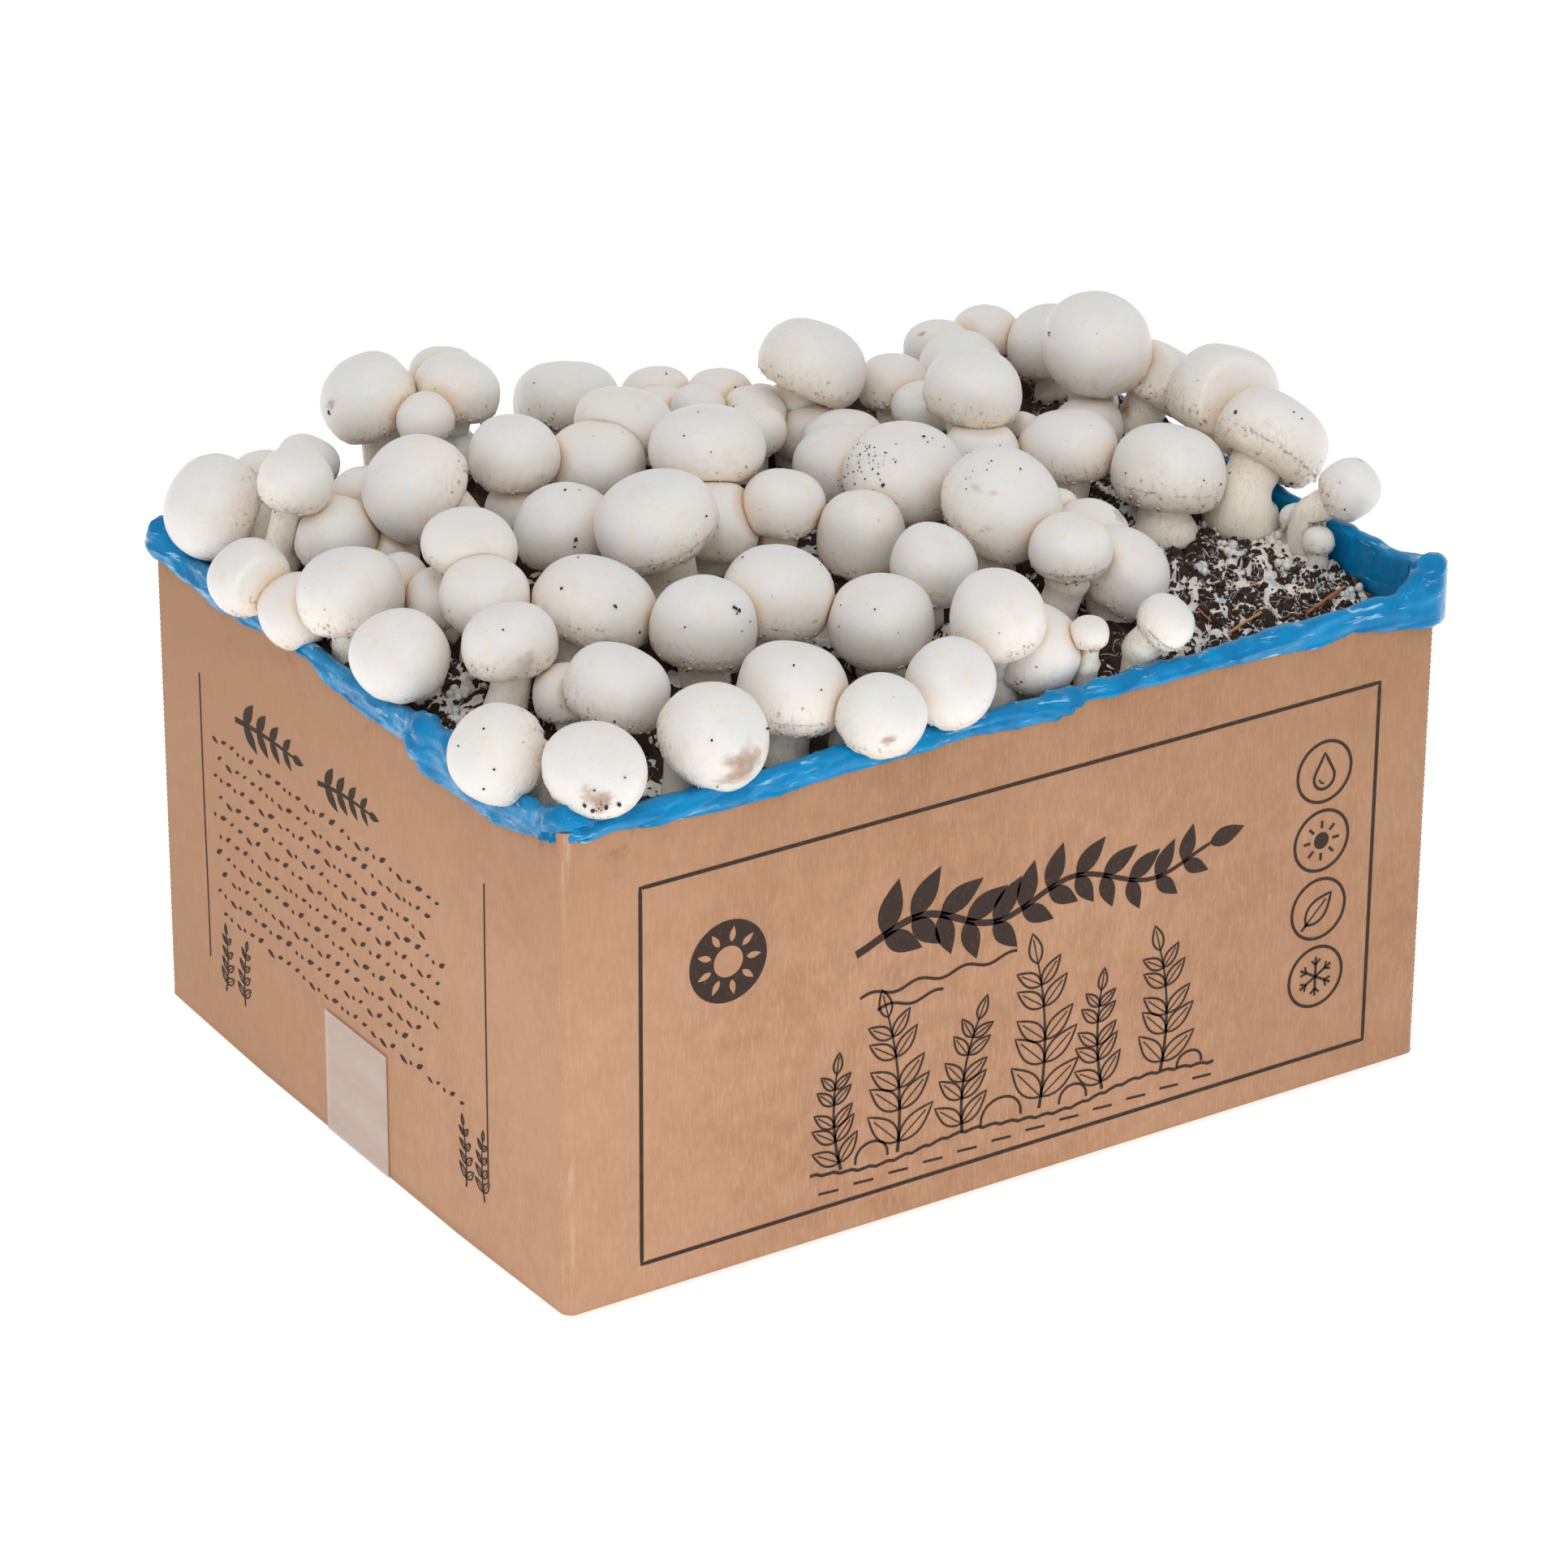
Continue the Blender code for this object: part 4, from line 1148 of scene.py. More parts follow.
# Mushrooms. Every cap: x, y and z of its middle, width, height, then how far right and back its root lies.
# A name with several caps is a cluster that has grown together
plants = {
    # Left side, from the back corner to the front one
    "mushroom_01": ((-188, 129, 225, 43, 35, 16, -5),),
    "cluster_02": ((-156, 147, 226, 23, 19, 1, -4), (-141, 136, 232, 26, 20, -9, 5)),
    "mushroom_03": ((-172, 88, 248, 30, 24, -2, 12),),
    "mushroom_05": ((-206, 68, 222, 34, 27, 20, 0),),
    "mushroom_06": ((-197, 47, 217, 32, 24, 12, 0),),
    "mushroom_07": ((-187, 21, 229, 41, 32, 1, 0),),
    "cluster_08": (
        (-160, 80, 225, 34, 28, 2, 2), (-137, 93, 231, 31, 24, -5, -3), (-141, 69, 218, 23, 18, -4, 2),
    ),
    "mushroom_20": ((-195, -32, 225, 37, 30, 12, 8),),
    "mushroom_70": ((-164, -60, 233, 36, 29, -3, 0),),
    "mushroom_75": ((-201, -115, 219, 41, 33, 17, 0),),
    "mushroom_74": ((-182, -151, 221, 38, 31, 1, 10),),
    # Behind on the left
    "mushroom_09": ((-109, 143, 250, 40, 32, 8, -1),),
    "mushroom_10": ((-133, 64, 244, 44, 36, 20, -8),),
    "cluster_11": (
        (-77, 128, 252, 35, 26, -8, 4), (-75, 147, 250, 28, 21, -6, -6), (-98, 116, 248, 24, 19, 10, 6),
        (-82, 131, 225, 31, 23, 0, 0),
    ),
    "cluster_15": ((-86, 68, 247, 37, 29, 2, 3), (-86, 65, 225, 27, 22, 0, 2)),
    "cluster_16": (
        (-145, 1, 248, 38, 24, 1, 6), (-162, 31, 224, 26, 20, 6, -7), (-154, 9, 224, 26, 20, 0, 6),
        (-153, -23, 236, 35, 27, 4, 9),
    ),
    "mushroom_21": ((-19, 139, 231, 45, 32, -3, -6),),
    # Behind in the middle
    "cluster_22": (
        (17, 128, 230, 30, 21, 0, -4), (6, 108, 231, 25, 19, 2, 2), (14, 91, 237, 23, 17, 0, 4),
        (34, 105, 233, 28, 22, -2, 0), (35, 82, 234, 27, 18, -4, 4), (23, 64, 235, 26, 20, 2, 5),
        (52, 100, 229, 18, 13, -6, 0),
    ),
    "cluster_26": ((-34, 69, 249, 39, 24, -3, 4), (-54, 58, 241, 38, 28, 8, 6)),
    "cluster_28": ((-23, 25, 251, 47, 31, -3, -3), (-35, 2, 231, 38, 30, 0, 4)),
    "mushroom_29": ((-90, 23, 233, 39, 31, 3, 4),),
    "cluster_34": ((62, 79, 249, 48, 29, -8, -4), (57, 72, 223, 33, 26, -2, 0)),
    "cluster_36": ((53, 43, 228, 36, 29, 0, 0), (35, 19, 233, 38, 29, 2, 2)),
    "cluster_35": ((97, 74, 233, 29, 22, 0, -4), (97, 51, 233, 26, 19, 0, 5)),
    "cluster_42": (
        (139, 103, 233, 28, 22, 2, -4), (163, 103, 233, 29, 23, -4, -4), (134, 79, 233, 35, 28, 3, 3),
    ),
    "cluster_40": (
        (98, 18, 252, 39, 31, 5, -1), (92, 3, 231, 32, 26, 4, 6), (122, 14, 231, 17, 13, -14, 0),
    ),
    "mushroom_48": ((159, 23, 221, 29, 23, 0, -2),),
    "mushroom_49": ((168, 31, 253, 46, 37, 9, 14),),
    "mushroom_50": ((179, 80, 233, 36, 29, 4, 0),),
    "mushroom_52": ((197, 20, 236, 30, 24, -11, 3),),
    # Middle
    "mushroom_30": ((-70, -13, 244, 46, 35, 6, 0),),
    "mushroom_32": ((-11, -11, 237, 33, 26, -2, 3),),
    "mushroom_38": ((10, -34, 229, 39, 32, 2, 2),),
    "mushroom_37": ((42, -16, 240, 48, 34, 2, 4),),
    "mushroom_39": ((15, -78, 230, 34, 27, 0, 8),),
    "mushroom_46": ((57, -61, 240, 50, 40, 0, 7),),
    "mushroom_47": ((124, -13, 232, 41, 29, -3, -1),),
    "mushroom_51": ((146, -50, 230, 46, 37, -4, -5),),
    "mushroom_53": ((199, -18, 243, 43, 33, -13, 1),),
    "mushroom_54": ((195, -53, 234, 47, 33, -19, -6),),
    "cluster_55": (
        (198, -101, 228, 27, 21, -9, 13), (185, -99, 209, 13, 11, 0, 0), (189, -93, 208, 12, 10, -1, 0),
        (188, -81, 212, 14, 11, -1, -2),
    ),
    "cluster_58": ((94, -71, 223, 30, 24, 0, 4), (92, -50, 227, 18, 14, 1, -3)),
    "mushroom_56": ((65, -98, 233, 32, 25, -3, 7),),
    # Front on the left
    "mushroom_67": ((-49, -66, 228, 45, 36, -3, 1),),
    "mushroom_68": ((-86, -73, 227, 40, 32, 1, 2),),
    "mushroom_69": ((-116, -42, 231, 48, 33, -4, -1),),
    "cluster_71": ((-142, -100, 225, 40, 31, -4, 2), (-149, -76, 215, 26, 20, 2, -3)),
    "mushroom_66": ((-84, -130, 222, 43, 35, -4, 1),),
    "mushroom_73": ((-130, -147, 221, 43, 35, -3, 10),),
    "mushroom_65": ((-64, -161, 219, 34, 28, 0, 20),),
    # Front on the right
    "mushroom_63": ((-29, -155, 221, 35, 28, 0, 14),),
    "mushroom_62": ((-22, -97, 222, 41, 33, 3, 5),),
    "cluster_61": ((5, -135, 233, 38, 31, 4, 6), (26, -131, 216, 36, 29, -4, 4)),
    "mushroom_57": ((91, -98, 216, 38, 30, -3, 4),),
    "mushroom_59": ((72, -150, 221, 26, 20, -6, 6),),
    "mushroom_60": ((41, -145, 221, 16, 12, 0, 2),),
}
mushroom = {
    # Shares of the half width and of the half height, from the crown to the veil
    "capOutline": ((0.0, 1.0), (0.18, 0.99), (0.40, 0.95), (0.62, 0.85), (0.81, 0.66), (0.94, 0.39),
                   (1.0, 0.03), (0.99, -0.28), (0.92, -0.52), (0.80, -0.67)),
    "capRows": 28,
    "stemRows": 12,
    "around": 56,
    "aroundSmall": 44,
    "smallBelow": 30,
    "stemTop": -0.62,
    "stemShare": 0.47,
    "stemYoung": 0.008,
    "youngBelow": 36,
    "mostLean": 38.0,
    "wavy": 0.028,
    "uneven": 0.019,
    "pressSoft": (0.45, 1.2),  # how softly a cap gives way, and a stem
    "pressTurn": 15,
    "pressDepth": 2.4,
    "pressWithin": 90,  # middles further apart than this never touch
    "pressGap": 0.06,
    "grownTogether": 0.35,  # caps of one cluster that overlap more than this are left as they are
    # The next value is how far the painted shade at a contact between caps reaches
    "contactShadeReach": 2.4,  # how far the colour of a contact fades out
    "sunk": 2.0,
    "flakes": 1.9,  # for each millimetre of width
    "rimReach": 4.0,
    "rimWide": (2.4, 6.0),
}
# Caps that differ from a level one, as the camera sees them: turn clockwise in degrees, width and height
# as shares of the plain ones, then how far they stand to the right and up. What isn't said is plain
shapes = {
    "mushroom_01": (-20, 0.96, 1.0, 0.6, 0.5),
    "mushroom_05": (0, 0.92, 1.0, 1.0),
    "mushroom_06": (10, 1.0, 1.05, 1.5, -2.4),
    "mushroom_09": (-20,),
    "mushroom_10": (-30,),
    "cluster_11 1": (0, 1.0, 1.0, 2.5, 2.0),
    "cluster_16": (4, 1.0, 0.9, 0.0, -1.2),
    "mushroom_20": (-8,),
    "mushroom_29": (-6, 1.03),
    "mushroom_30": (-10, 1.03, 1.0, -0.6),
    "cluster_34": (19, 0.95, 1.15, -0.6, 0.8),
    "cluster_36 1": (-12,),
    "cluster_35": (0, 1.0, 1.1, 0.0, 2.5),
    "mushroom_38": (8, 0.88, 1.12, 0.6, -1.5),
    "mushroom_37": (6, 1.0, 1.06),
    "mushroom_39": (6, 1.0, 1.09),
    "cluster_40": (14,),
    "cluster_42 1": (0, 1.0, 1.0, 0.0, 1.0),
    "mushroom_46": (30, 0.97, 0.98, 1.0, -0.4),
    "mushroom_47": (-8,),
    "mushroom_50": (0, 1.0, 1.0, 0.0, 1.5),
    "mushroom_53": (-10, 1.05, 1.28, -1.8, -3.0),
    "mushroom_51": (4, 1.0, 1.0, 0.0, -0.3),
    "mushroom_52": (0, 1.4, 1.15, -3.0, -1.4),
    "mushroom_54": (8, 1.0, 1.1, 0.0, 0.6),
    "cluster_55": (12, 0.87, 1.15, -0.4, 0.6),
    "mushroom_56": (-10,),
    "mushroom_57": (20, 0.98, 1.04, -0.6, 0.6),
    "mushroom_59": (10, 0.9, 0.92, 0.8, -0.8),
    "cluster_61 1": (20, 1.0, 1.16, -0.4, -4.0),
    "mushroom_62": (-6,),
    "mushroom_65": (0, 0.97),
    "mushroom_68": (8, 1.0, 1.12),
    "mushroom_69": (12,),
    "mushroom_70": (-10,),
    "cluster_71": (10,),
    "cluster_71 1": (0, 1.0, 1.12),
    "mushroom_73": (18, 0.95, 1.0, 1.4),
    "mushroom_74": (-14, 1.0, 0.92, 0.0, 1.4),
    "mushroom_75": (-35, 0.9, 1.02, -0.8),
}
# Stems that swell at the foot: share of the radius
bulbs = {
    "mushroom_54": 1.45, "mushroom_51": 1.25, "mushroom_59": 1.2, "mushroom_73": 1.15, "mushroom_68": 1.1,
}
# Stems with a ring left by the veil: place along the stem
rings = {"mushroom_59": 0.30, "mushroom_60": 0.35, "mushroom_56": 0.2}
# Rims with torn veil: name, from and to round the cap in degrees as the map's compass runs, longest shred
shaggyRims = (
    ("mushroom_30", 190, 350, 2.2), ("mushroom_54", 180, 330, 2.6), ("mushroom_56", 200, 340, 2.4),
    ("mushroom_66", 170, 300, 1.6), ("mushroom_59", 200, 360, 1.8), ("mushroom_73", 200, 330, 1.6),
    ("mushroom_69", 200, 300, 1.4), ("mushroom_51", 170, 300, 1.8), ("mushroom_68", 200, 320, 1.2),
    ("mushroom_46", 180, 300, 0.9), ("mushroom_62", 200, 320, 0.9), ("mushroom_67", 200, 320, 0.9),
)


class Growth:
    # One mushroom: rows of points from its crown to its foot
    def __init__(self, node, number, numbers, rim):
        self.node, self.number, self.rim = node, number, rim
        shaker = random.Random(f"{node} {number}")
        self.phase = shaker.uniform(0, 6.28)
        self.seed = shaker.randrange(1000)
        self.blunt = shaker.uniform(0.94, 1.1)
        given = shapes.get(node if number == 0 else f"{node} {number}", ())
        turn, wide, tall, aside, above = given + (0, 1, 1, 0, 0)[len(given):]
        x, y, z, across, high, right, back = numbers
        self.setSizes(across * wide, high * tall)
        self.setRoot(x, y, z, right, back)
        self.setAxes(turn, aside, above)
        rows, rises, stems = zip(*self.growCap(), *self.growStem())
        self.rows = np.array(rows)
        self.rises = np.repeat(rises, self.around)
        self.stems = np.repeat(stems, self.around)
        self.roughen()
        crown = self.centre + self.axis * (self.high / 2)
        swelling = lumps([crown / (0.5 * self.across)], 1, self.seed)[0]
        crown = crown + self.axis * float(self.across * mushroom["uneven"] * swelling)
        self.points = np.concatenate([self.rows.reshape(-1, 3), [crown, self.root]])
        self.rises = np.append(self.rises, [1, -0.75])
        self.stems = np.append(self.stems, [0, 1])
        self.findBodies()

    def setSizes(self, across, high):
        self.across, self.high = across, high
        self.around = mushroom["aroundSmall"] if across < mushroom["smallBelow"] else mushroom["around"]
        young = max(0, mushroom["youngBelow"] - across) * mushroom["stemYoung"]
        self.stem = across / 2 * (mushroom["stemShare"] + young)

    def setRoot(self, x, y, z, right, back):
        # The stem comes out of the soil inside the liner, and a cap past the rim has its stem bent over it
        mostX, mostY = roomX - self.stem - 0.5, roomY - self.stem - 0.5
        rootX = min(max(x + right, -mostX), mostX)
        rootY = min(max(y + back, -mostY), mostY)
        self.root = np.array((rootX, rootY, float(soilHeight(rootX, rootY)) - mushroom["sunk"]))
        self.sill = rimNear(x, y, self.across / 2, self.rim)
        self.centre = np.array((x, y, z), float)
        self.bend = self.root.copy()
        if self.sill:
            self.bend[2] = self.sill + 1.5

    def setAxes(self, turn, aside, above):
        # The cap faces away from its stem, and is then turned and moved as the camera sees it
        axis = limited(self.centre - self.bend)
        sideways, upward, toward, _ = (np.array(way) for way in cameraAxes())
        self.centre = self.centre + sideways * aside + upward * above
        spin = math.radians(turn)
        level = np.cross(axis, toward)
        kept = toward * (axis @ toward) * (1 - math.cos(spin))
        axis = axis * math.cos(spin) + level * math.sin(spin) + kept
        self.axis = axis / np.linalg.norm(axis)
        self.first = np.cross((0, 1, 0), self.axis)
        self.first /= np.linalg.norm(self.first)
        self.second = np.cross(self.axis, self.first)
        angles = np.arange(self.around) * 2 * math.pi / self.around
        waves = np.sin(2 * angles + self.phase) + 0.6 * np.sin(3 * angles + 2 * self.phase)
        self.wave = mushroom["wavy"] * waves

    def growCap(self):
        # Each ring of points with its height as a share, and how much of it is stem
        profile = list(mushroom["capOutline"])
        stemShare = self.stem / (self.across / 2)
        profile += [(max(0.6, stemShare + 0.15), -0.735), (stemShare + 0.07, -0.70)]
        profile.append((stemShare + 0.01, -0.60))
        for share, height in smoothCurve(profile, mushroom["capRows"] + 1)[1:]:
            height = math.copysign(abs(height) ** self.blunt, height) if height > 0 else height
            middle = self.centre + self.axis * (self.high / 2 * height)
            reach = self.across / 2 * share * (1 + self.wave * min(1, share * 1.4))
            yield self.ring(middle, self.first, self.second, reach), height, 0.0

    def growStem(self):
        top = self.centre + self.axis * (self.high / 2 * mushroom["stemTop"])
        if self.sill:
            top[2] = max(top[2], self.sill + 3)
        path = self.stemPath(top)
        swell = bulbs.get(self.node, 1.06) if self.number == 0 else 1.05
        ringAt = rings.get(self.node)
        for step, (place, way) in enumerate(zip(path, unit(-np.gradient(path, axis=0)))):
            share = (step + 1) / len(path)
            first = np.cross((0, 1, 0), way)
            first /= np.linalg.norm(first)
            foot = (swell - 1) * float(smoothStep(share, 0.25, 0.8))
            reach = self.stem * (1 - 0.07 * math.sin(math.pi * share) + foot)
            if ringAt:
                reach += 1.6 * math.exp(-(((share - ringAt) / 0.07) ** 2))
            ring = self.ring(place, first, np.cross(way, first), reach * (1 + self.wave * 0.8))
            yield ring, -0.75, float(smoothStep(share, 0.0, 0.12))

    def ring(self, middle, first, second, reach):
        angles = np.arange(self.around) * 2 * math.pi / self.around
        reach = np.broadcast_to(reach, self.around)
        return middle + first * (np.cos(angles) * reach)[:, None] + second * (np.sin(angles) * reach)[:, None]

    def stemPath(self, top):
        count = mushroom["stemRows"] + 1
        if self.sill:
            return smoothCurve([top, self.bend, self.root], count)[1:]
        long = np.linalg.norm(self.root - top)
        one, other = top - self.axis * long * 0.4, self.root + np.array((0, 0, long * 0.35))
        share = np.linspace(0, 1, count)[1:, None]
        rest = 1 - share
        return top * rest**3 + one * 3 * rest**2 * share + other * 3 * rest * share**2 + self.root * share**3

    def roughen(self):
        # Uneven growth: wide low swellings, then small ones, and long shallow fibres down the stem
        points = self.rows
        out = unit(points - self.centre, 1e-6)
        cap = 1 - self.stems.reshape(points.shape[:2])
        wide = self.across * mushroom["uneven"] * lumps(points / (0.5 * self.across), 1, self.seed)
        middle = 0.16 * lumps(points, 6.5, self.seed + 1)
        rim = np.exp(-((self.rises.reshape(cap.shape) + 0.56) / 0.22) ** 2) * 0.55
        rim = rim * lumps(points, 2.4, self.seed + 2)
        shift = (wide + middle + rim) * cap
        fibres = lumps(points * (1, 1, 0.25), 2.2, self.seed + 3) * 0.22
        fibres = fibres + lumps(points, 6, self.seed + 4) * 0.3
        level = unit(out * (1, 1, 0), 1e-6)
        self.rows = points + out * shift[..., None] + level * (fibres * (1 - cap))[..., None]

    def findBodies(self):
        capCount = mushroom["capRows"]
        stemCount = len(self.rows) - capCount
        ringOf = np.arange(len(self.rows) * self.around).reshape(-1, self.around)
        crown = len(self.points) - 2
        self.cap = np.append(ringOf[:capCount].ravel(), crown)
        half = capCount + stemCount // 2
        upper, lower = ringOf[capCount - 1 : half + 1].ravel(), ringOf[half:].ravel()
        self.stemBodies = [upper, np.append(lower, crown + 1)]
        self.bounds = []
        inner = np.flatnonzero((self.stems > 0.5) & (self.points[:, 2] < (self.sill or 500)))
        for way, room in (((1.0, 0.0, 0.0), roomX), ((0.0, 1.0, 0.0), roomY)):
            self.bounds.append((inner, np.array(way), room - 0.4))
            self.bounds.append((inner, -np.array(way), room - 0.4))

    def settle(self):
        softCap, softStem = mushroom["pressSoft"]
        for number in range(5):
            for chosen, way, limit in self.bounds:
                over = self.points[chosen] @ way - limit
                if number == 0:
                    soft = np.where(self.stems[chosen] > 0.5, softStem, softCap)
                    over = soft * np.logaddexp(0, np.clip(over / soft, -40, 40)) * (over > -4 * soft)
                self.points[chosen] -= np.outer(np.maximum(over, 0), way)
            if self.sill:
                self.restOnRim()

    def restOnRim(self):
        # A cap that hangs over the folded liner is arched over its crest only
        chosen = np.flatnonzero((self.stems < 0.99) & (self.points[:, 2] > self.sill - 14))
        offsets = self.points[chosen, None, :2] - self.rim[None, :, :2]
        away = np.linalg.norm(offsets, axis=2)
        nearest = away.argmin(axis=1)
        least = self.rim[nearest, 2] + 0.4 - 16 * smoothStep(away.min(axis=1), *mushroom["rimWide"])
        self.points[chosen, 2] = np.maximum(self.points[chosen, 2], least)

    def closeness(self, others, points):
        # 1 where another cap touches, falling away from it: the mask of the painted contact shade
        total = np.zeros(len(points))
        for other in others:
            local = points - other.centre
            half, high = other.across / 2, other.high / 2
            shares = (local @ other.first / half, local @ other.second / half, local @ other.axis / high)
            away = (np.linalg.norm(np.stack(shares, -1), axis=-1) - 1) * min(half, high)
            total = np.maximum(total, np.exp(-np.maximum(away, 0) / mushroom["contactShadeReach"]))
        return total

    def faces(self):
        grid = gridFaces(len(self.rows), self.around)[:, ::-1]
        last = len(self.rows) * self.around
        ends = [fanFaces(0, self.around, last)[:, ::-1], fanFaces(last - self.around, self.around, last + 1)]
        return [grid, np.concatenate(ends)]


def limited(axis):
    flat = math.hypot(axis[0], axis[1])
    lean = math.atan2(flat, axis[2])
    most = math.radians(mushroom["mostLean"])
    if lean <= most or flat == 0:
        return axis / np.linalg.norm(axis)
    scale = math.sin(most) / flat
    return np.array((axis[0] * scale, axis[1] * scale, math.cos(most)))


def rimNear(x, y, reach, rim):
    # Highest point of the folded liner within reach of this place, or None
    if carton["long"] / 2 - 6 - abs(x) > reach and carton["short"] / 2 - 6 - abs(y) > reach:
        return None
    away = np.hypot(rim[:, 0] - x, rim[:, 1] - y)
    found = rim[away < reach + mushroom["rimReach"], 2]
    return float(found.max()) + 0.3 if len(found) else None


def pressDirections():
    ways = [(0.0, 0.0, 1.0), (0.0, 0.0, -1.0)]
    for high in range(-60, 61, mushroom["pressTurn"]):
        for turn in range(0, 360, mushroom["pressTurn"]):
            level = math.cos(math.radians(high))
            turned = math.radians(turn)
            ways.append((level * math.cos(turned), level * math.sin(turned), math.sin(math.radians(high))))
    return np.array(ways)


def pressApart(growths):
    # Where two mushrooms would run into each other, both are flattened along the plane between them
    ways = pressDirections()
    toward = np.array(cameraAxes()[2])
    favour = 1 + mushroom["pressDepth"] * (1 - np.abs(ways @ toward))
    reaches = {}
    for growth in growths:
        growth.bodies = [growth.cap, *growth.stemBodies]
        for number, chosen in enumerate(growth.bodies):
            along = growth.points[chosen] @ ways.T
            reaches[id(growth), number] = along.max(axis=0), along.min(axis=0)
    for number, one in enumerate(growths):
        for other in growths[number + 1 :]:
            if np.linalg.norm(one.centre[:2] - other.centre[:2]) > mushroom["pressWithin"]:
                continue
            together = one.node == other.node
            for mine in range(1 if together else len(one.bodies)):
                for its in range(1 if together else len(other.bodies)):
                    over = reaches[id(one), mine][0] - reaches[id(other), its][1]
                    if over.min() <= 0:
                        continue
                    best = (over * favour).argmin()
                    if together and over[best] > mushroom["grownTogether"] * min(one.high, other.high):
                        continue
                    level = (reaches[id(one), mine][0][best] + reaches[id(other), its][1][best]) / 2
                    one.bounds.append((one.bodies[mine], ways[best], level - mushroom["pressGap"]))
                    other.bounds.append((other.bodies[its], -ways[best], -(level + mushroom["pressGap"])))
    for growth in growths:
        growth.settle()
        growth.rows = growth.points[:-2].reshape(-1, growth.around, 3)


# Crumbs of soil on the caps, at pixels of the photograph: column, row, width in mm
crumbSpots = (
    (405, 508, 1.6), (590, 523, 1.0), (658, 472, 0.8), (821, 461, 1.0), (906, 477, 1.1), (904, 501, 1.2),
    (860, 508, 0.8), (843, 537, 0.9), (876, 557, 1.1), (919, 575, 0.9), (696, 604, 1.2), (714, 604, 0.9),
    (709, 665, 1.5), (708, 674, 1.1), (712, 687, 0.9), (870, 636, 1.2), (824, 716, 1.0), (692, 725, 1.1),
    (758, 746, 1.3), (788, 779, 1.1), (844, 773, 1.0), (914, 778, 1.1), (905, 748, 2.0), (911, 753, 1.6),
    (908, 756, 1.2), (924, 766, 1.0), (915, 687, 1.1), (1011, 696, 0.9), (1041, 588, 1.1),
    (1038, 599, 1.2), (1036, 746, 0.9), (1034, 772, 1.0), (1078, 751, 0.9), (978, 820, 1.1),
    (1012, 850, 0.9), (1522, 508, 1.7), (1594, 508, 1.1), (1604, 516, 1.0), (1592, 595, 1.8),
    (1586, 599, 1.4), (1387, 583, 1.2), (1370, 605, 1.0), (1483, 592, 1.0), (1657, 628, 1.1),
    (1515, 583, 1.0), (757, 889, 1.0), (877, 912, 1.1), (770, 958, 1.2), (565, 919, 0.9), (596, 898, 1.1),
    (609, 948, 1.2), (596, 972, 1.1), (945, 899, 1.3), (884, 969, 0.9), (747, 994, 1.4), (730, 999, 1.8),
    (762, 991, 1.6), (720, 992, 1.5), (738, 996, 1.2), (1293, 412, 1.3), (1231, 780, 0.8),
    (1277, 822, 0.9), (620, 776, 1.0), (1232, 549, 0.9), (1257, 578, 0.9), (1052, 552, 0.9),
    (1060, 560, 1.0), (1071, 571, 0.9), (1082, 584, 1.2), (1066, 590, 1.0), (1088, 598, 1.3),
    (1076, 604, 1.0), (1138, 538, 1.2), (1143, 545, 1.0), (1149, 540, 0.8),
)
# Thick sprinkles of dirt: column, row, how far they spread in pixels, and how many
sprinkles = (
    (1076, 562, 15, 46), (1044, 590, 12, 14), (1500, 604, 10, 8), (1196, 560, 30, 12), (745, 992, 14, 10),
)
# Stains: column, row, width in mm, how brown
stainSpots = (
    (408, 500, 5, 0.8), (918, 945, 16, 0.95), (900, 960, 9, 0.8), (930, 935, 8, 0.8),
    (1095, 912, 4.5, 0.9), (1676, 566, 4, 0.9), (1624, 585, 4.5, 0.85), (1136, 411, 3, 0.8),
    (650, 815, 9, 0.45), (700, 790, 7, 0.5), (1205, 600, 3.2, 0.55), (1224, 605, 2.6, 0.5),
    (1215, 648, 3.0, 0.5), (1290, 930, 9, 0.5), (1245, 945, 5, 0.5), (1395, 615, 7, 0.7),
    (1380, 635, 7, 0.7), (740, 990, 9, 0.9), (725, 980, 6, 0.7), (870, 668, 6, 0.55), (1387, 506, 6, 0.8),
    (640, 980, 5, 0.5),
)


def plantRows(rim):
    growths = [
        Growth(node, number, numbers, rim)
        for node, caps in plants.items()
        for number, numbers in enumerate(caps)
    ]
    pressApart(growths)
    return growths


def treeOf(growths):
    points = np.concatenate([growth.points for growth in growths])
    faces, start = [], 0
    for growth in growths:
        for array in growth.faces():
            faces.extend((array + start).tolist())
        start += len(growth.points)
    return BVHTree.FromPolygons(points.tolist(), faces)


def hitsOf(tree, spots):
    found = []
    for column, row, *values in spots:
        eye, way = sightLine(column, row)
        place, normal, _, _ = tree.ray_cast(eye, way)
        if place is not None:
            found.append((np.array(place), np.array(normal), *values))
    return found


thorn = np.array([[0, 1, 3], [1, 2, 3], [2, 0, 3], [0, 2, 1]])  # faces of a small closed point
noMarks = {"rise": 0, "near": 0, "stem": 0, "stain": 0, "grit": 0}


# Scales on a cap: their height on it as a share, their sizes in mm, and where they start to be larger
scaleBits = {
    "middle": -0.40,
    "spread": 0.2,
    "between": (-0.64, 0.3),
    "larger": (-0.3, -0.5),
    "largest": 0.9,
    "long": (0.5, 1.6),
    "wide": (0.3, 0.8),
    "lift": (0.08, 0.3),
    "aside": 0.3,
}


